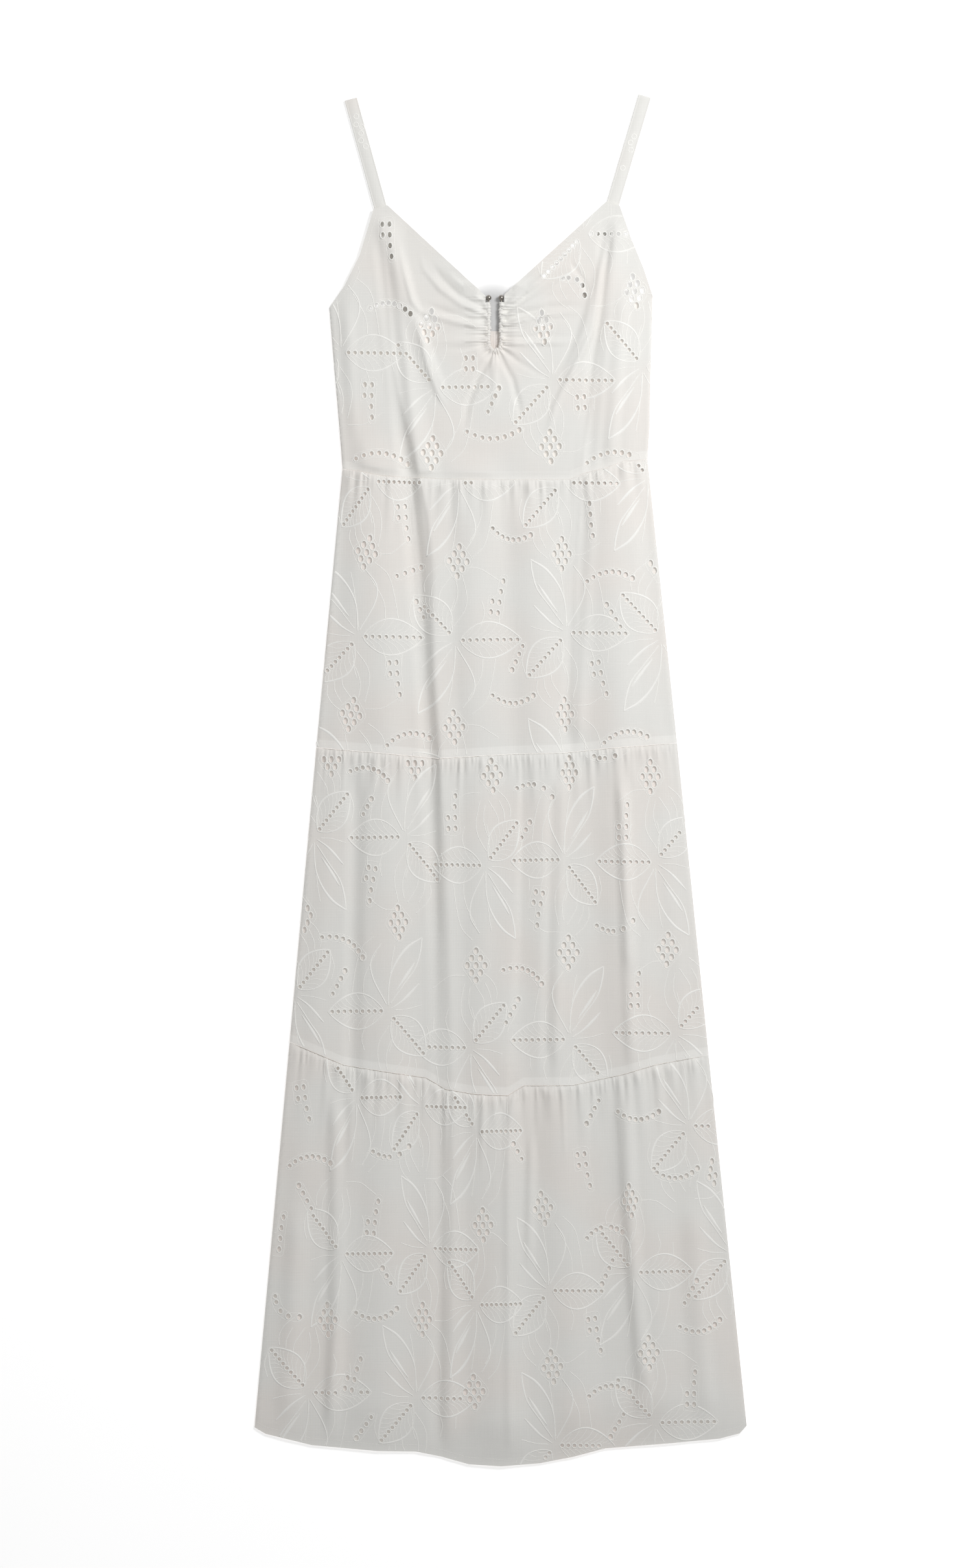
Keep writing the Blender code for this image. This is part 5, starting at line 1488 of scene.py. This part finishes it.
def hairpin(top, count):
    """Evenly spaced places on the U-shaped line of the wire: each a point and its direction."""
    straight_run = top - SLOT_FOOT
    whole = 2 * straight_run + math.pi * LEG
    places = []
    for gone in np.linspace(0.0, whole, count + 1):
        if gone <= straight_run:
            places.append((Vector((KEYHOLE_X - LEG, top - gone, CASING_Z)), Vector((0, -1, 0))))
        elif gone >= whole - straight_run:
            places.append((Vector((KEYHOLE_X + LEG, top - (whole - gone), CASING_Z)), Vector((0, 1, 0))))
        else:
            angle = math.pi + (gone - straight_run) / LEG
            point = Vector((KEYHOLE_X + LEG * math.cos(angle), SLOT_FOOT + LEG * math.sin(angle), CASING_Z))
            places.append((point, Vector((-math.sin(angle), math.cos(angle), 0))))
    return places


def casing_place(station, angle):
    """The sideways reach and the rise of the casing's skin at one corner of one station."""
    phase = 2 * math.pi * station / PUCKER_STATIONS + 0.9 * math.sin(0.23 * station)
    pucker = 0.5 - 0.5 * math.cos(phase + 0.7 * math.sin(angle + 0.31 * station))
    depth = CASING_DEPTH * (0.75 + 0.25 * math.sin(0.53 * station))
    radius = CASING_RADIUS + 0.15 - depth * pucker - 0.12 * (1 + math.sin(0.9 * station + 3 * angle))
    stray = CASING_STRAY * (math.sin(0.41 * station) + math.sin(0.17 * station + 1.0))
    ruffle = CASING_RUFFLE * (1 - 0.75 * pucker) * (0.8 + 0.2 * math.sin(0.29 * station))
    sideways = stray + radius * (1 + ruffle * max(math.cos(angle), 0.0)) * math.cos(angle)
    return sideways, radius * math.sin(angle)


verts = []
stations = hairpin(CASING_TOP, PUCKER_STATIONS * CASING_PUCKERS)
corners = [2 * math.pi * corner / CASING_SIDES for corner in range(CASING_SIDES)]
skin = [(*place, [casing_place(station, angle) for angle in corners]) for station, place in enumerate(stations)]
bore = [(*place, [(CASING_BORE * math.cos(angle), CASING_BORE * math.sin(angle)) for angle in corners])
        for place in reversed(stations)]
for point, ahead, ring in skin + bore:
    across = ahead.cross(Vector((0, 0, 1)))
    verts += [tuple(point + across * sideways + Vector((0, 0, rise))) for sideways, rise in ring]
faces = tube_faces(0, len(verts) // CASING_SIDES, CASING_SIDES, False)
casing = closed_piece("keyhole_casing_cloth", verts, faces, cotton_voile, None)
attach(casing, "root")
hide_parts("keyhole_casing")


# Keyhole wire: bent steel wire with a turned ball on each end, bright nickel plate that mirrors the room.
# Only its balls show. The rest of it runs down one leg of the casing, round the foot and up the other.
WIRE_RADIUS = 0.75
BALL_RADIUS = 2.85
BALL_Y = 491.9

nickel, tree, out = new_material("nickel_plate")
place = add_node(tree, "TexCoord", {}).outputs["Object"]
wear = add_node(tree, "TexNoise", {"Vector": place, "Scale": 900.0, "Detail": 3.0})
rough = mapped(tree, wear.outputs["Fac"], 0.0, 1.0, 0.12, 0.24)
tone = mixed(tree, wear.outputs["Fac"], linear("#8f8a83"), linear("#a8a29b"))
shader = add_node(tree, "BsdfPrincipled", {"Base Color": tone, "Metallic": 1.0, "Roughness": rough})
tree.links.new(shader.outputs["BSDF"], out.inputs["Surface"])

bpy.ops.object.select_all(action="DESELECT")
left_x = (KEYHOLE_X - LEG) * MM
right_x = (KEYHOLE_X + LEG) * MM
bpy.ops.mesh.primitive_circle_add(
    vertices=12, radius=WIRE_RADIUS * MM, location=(left_x, BALL_Y * MM, CASING_Z * MM),
    rotation=(math.pi / 2, 0, 0),
)
wire = bpy.context.active_object
wire.name = "keyhole_wire_steel"
bpy.ops.object.transform_apply(location=True, rotation=True, scale=True)
bpy.ops.object.mode_set(mode="EDIT")
bpy.ops.mesh.select_all(action="SELECT")
bpy.ops.mesh.extrude_region_move(TRANSFORM_OT_translate={"value": (0, (SLOT_FOOT - BALL_Y) * MM, 0)})
bend = (KEYHOLE_X * MM, SLOT_FOOT * MM, CASING_Z * MM)
bpy.ops.mesh.spin(steps=16, angle=-math.pi, center=bend, axis=(0, 0, 1))
bpy.ops.mesh.extrude_region_move(TRANSFORM_OT_translate={"value": (0, (BALL_Y - SLOT_FOOT) * MM, 0)})
bpy.ops.object.mode_set(mode="OBJECT")
for ball_x in (left_x, right_x):
    bpy.ops.object.select_all(action="DESELECT")
    bpy.ops.mesh.primitive_uv_sphere_add(
        segments=32, ring_count=20, radius=BALL_RADIUS * MM, location=(ball_x, BALL_Y * MM, CASING_Z * MM),
        rotation=(math.pi / 2, 0, 0),
    )
    bpy.ops.object.transform_apply(location=True, rotation=True, scale=True)
    wire.select_set(True)
    bpy.context.view_layer.objects.active = wire
    bpy.ops.object.join()
shape = bmesh.new()
shape.from_mesh(wire.data)
bmesh.ops.remove_doubles(shape, verts=shape.verts, dist=1e-6)
bmesh.ops.recalc_face_normals(shape, faces=shape.faces)
shape.to_mesh(wire.data)
shape.free()
wire.data.materials.append(nickel)
wire.data.shade_smooth()
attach(wire, "root")
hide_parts("keyhole_wire")
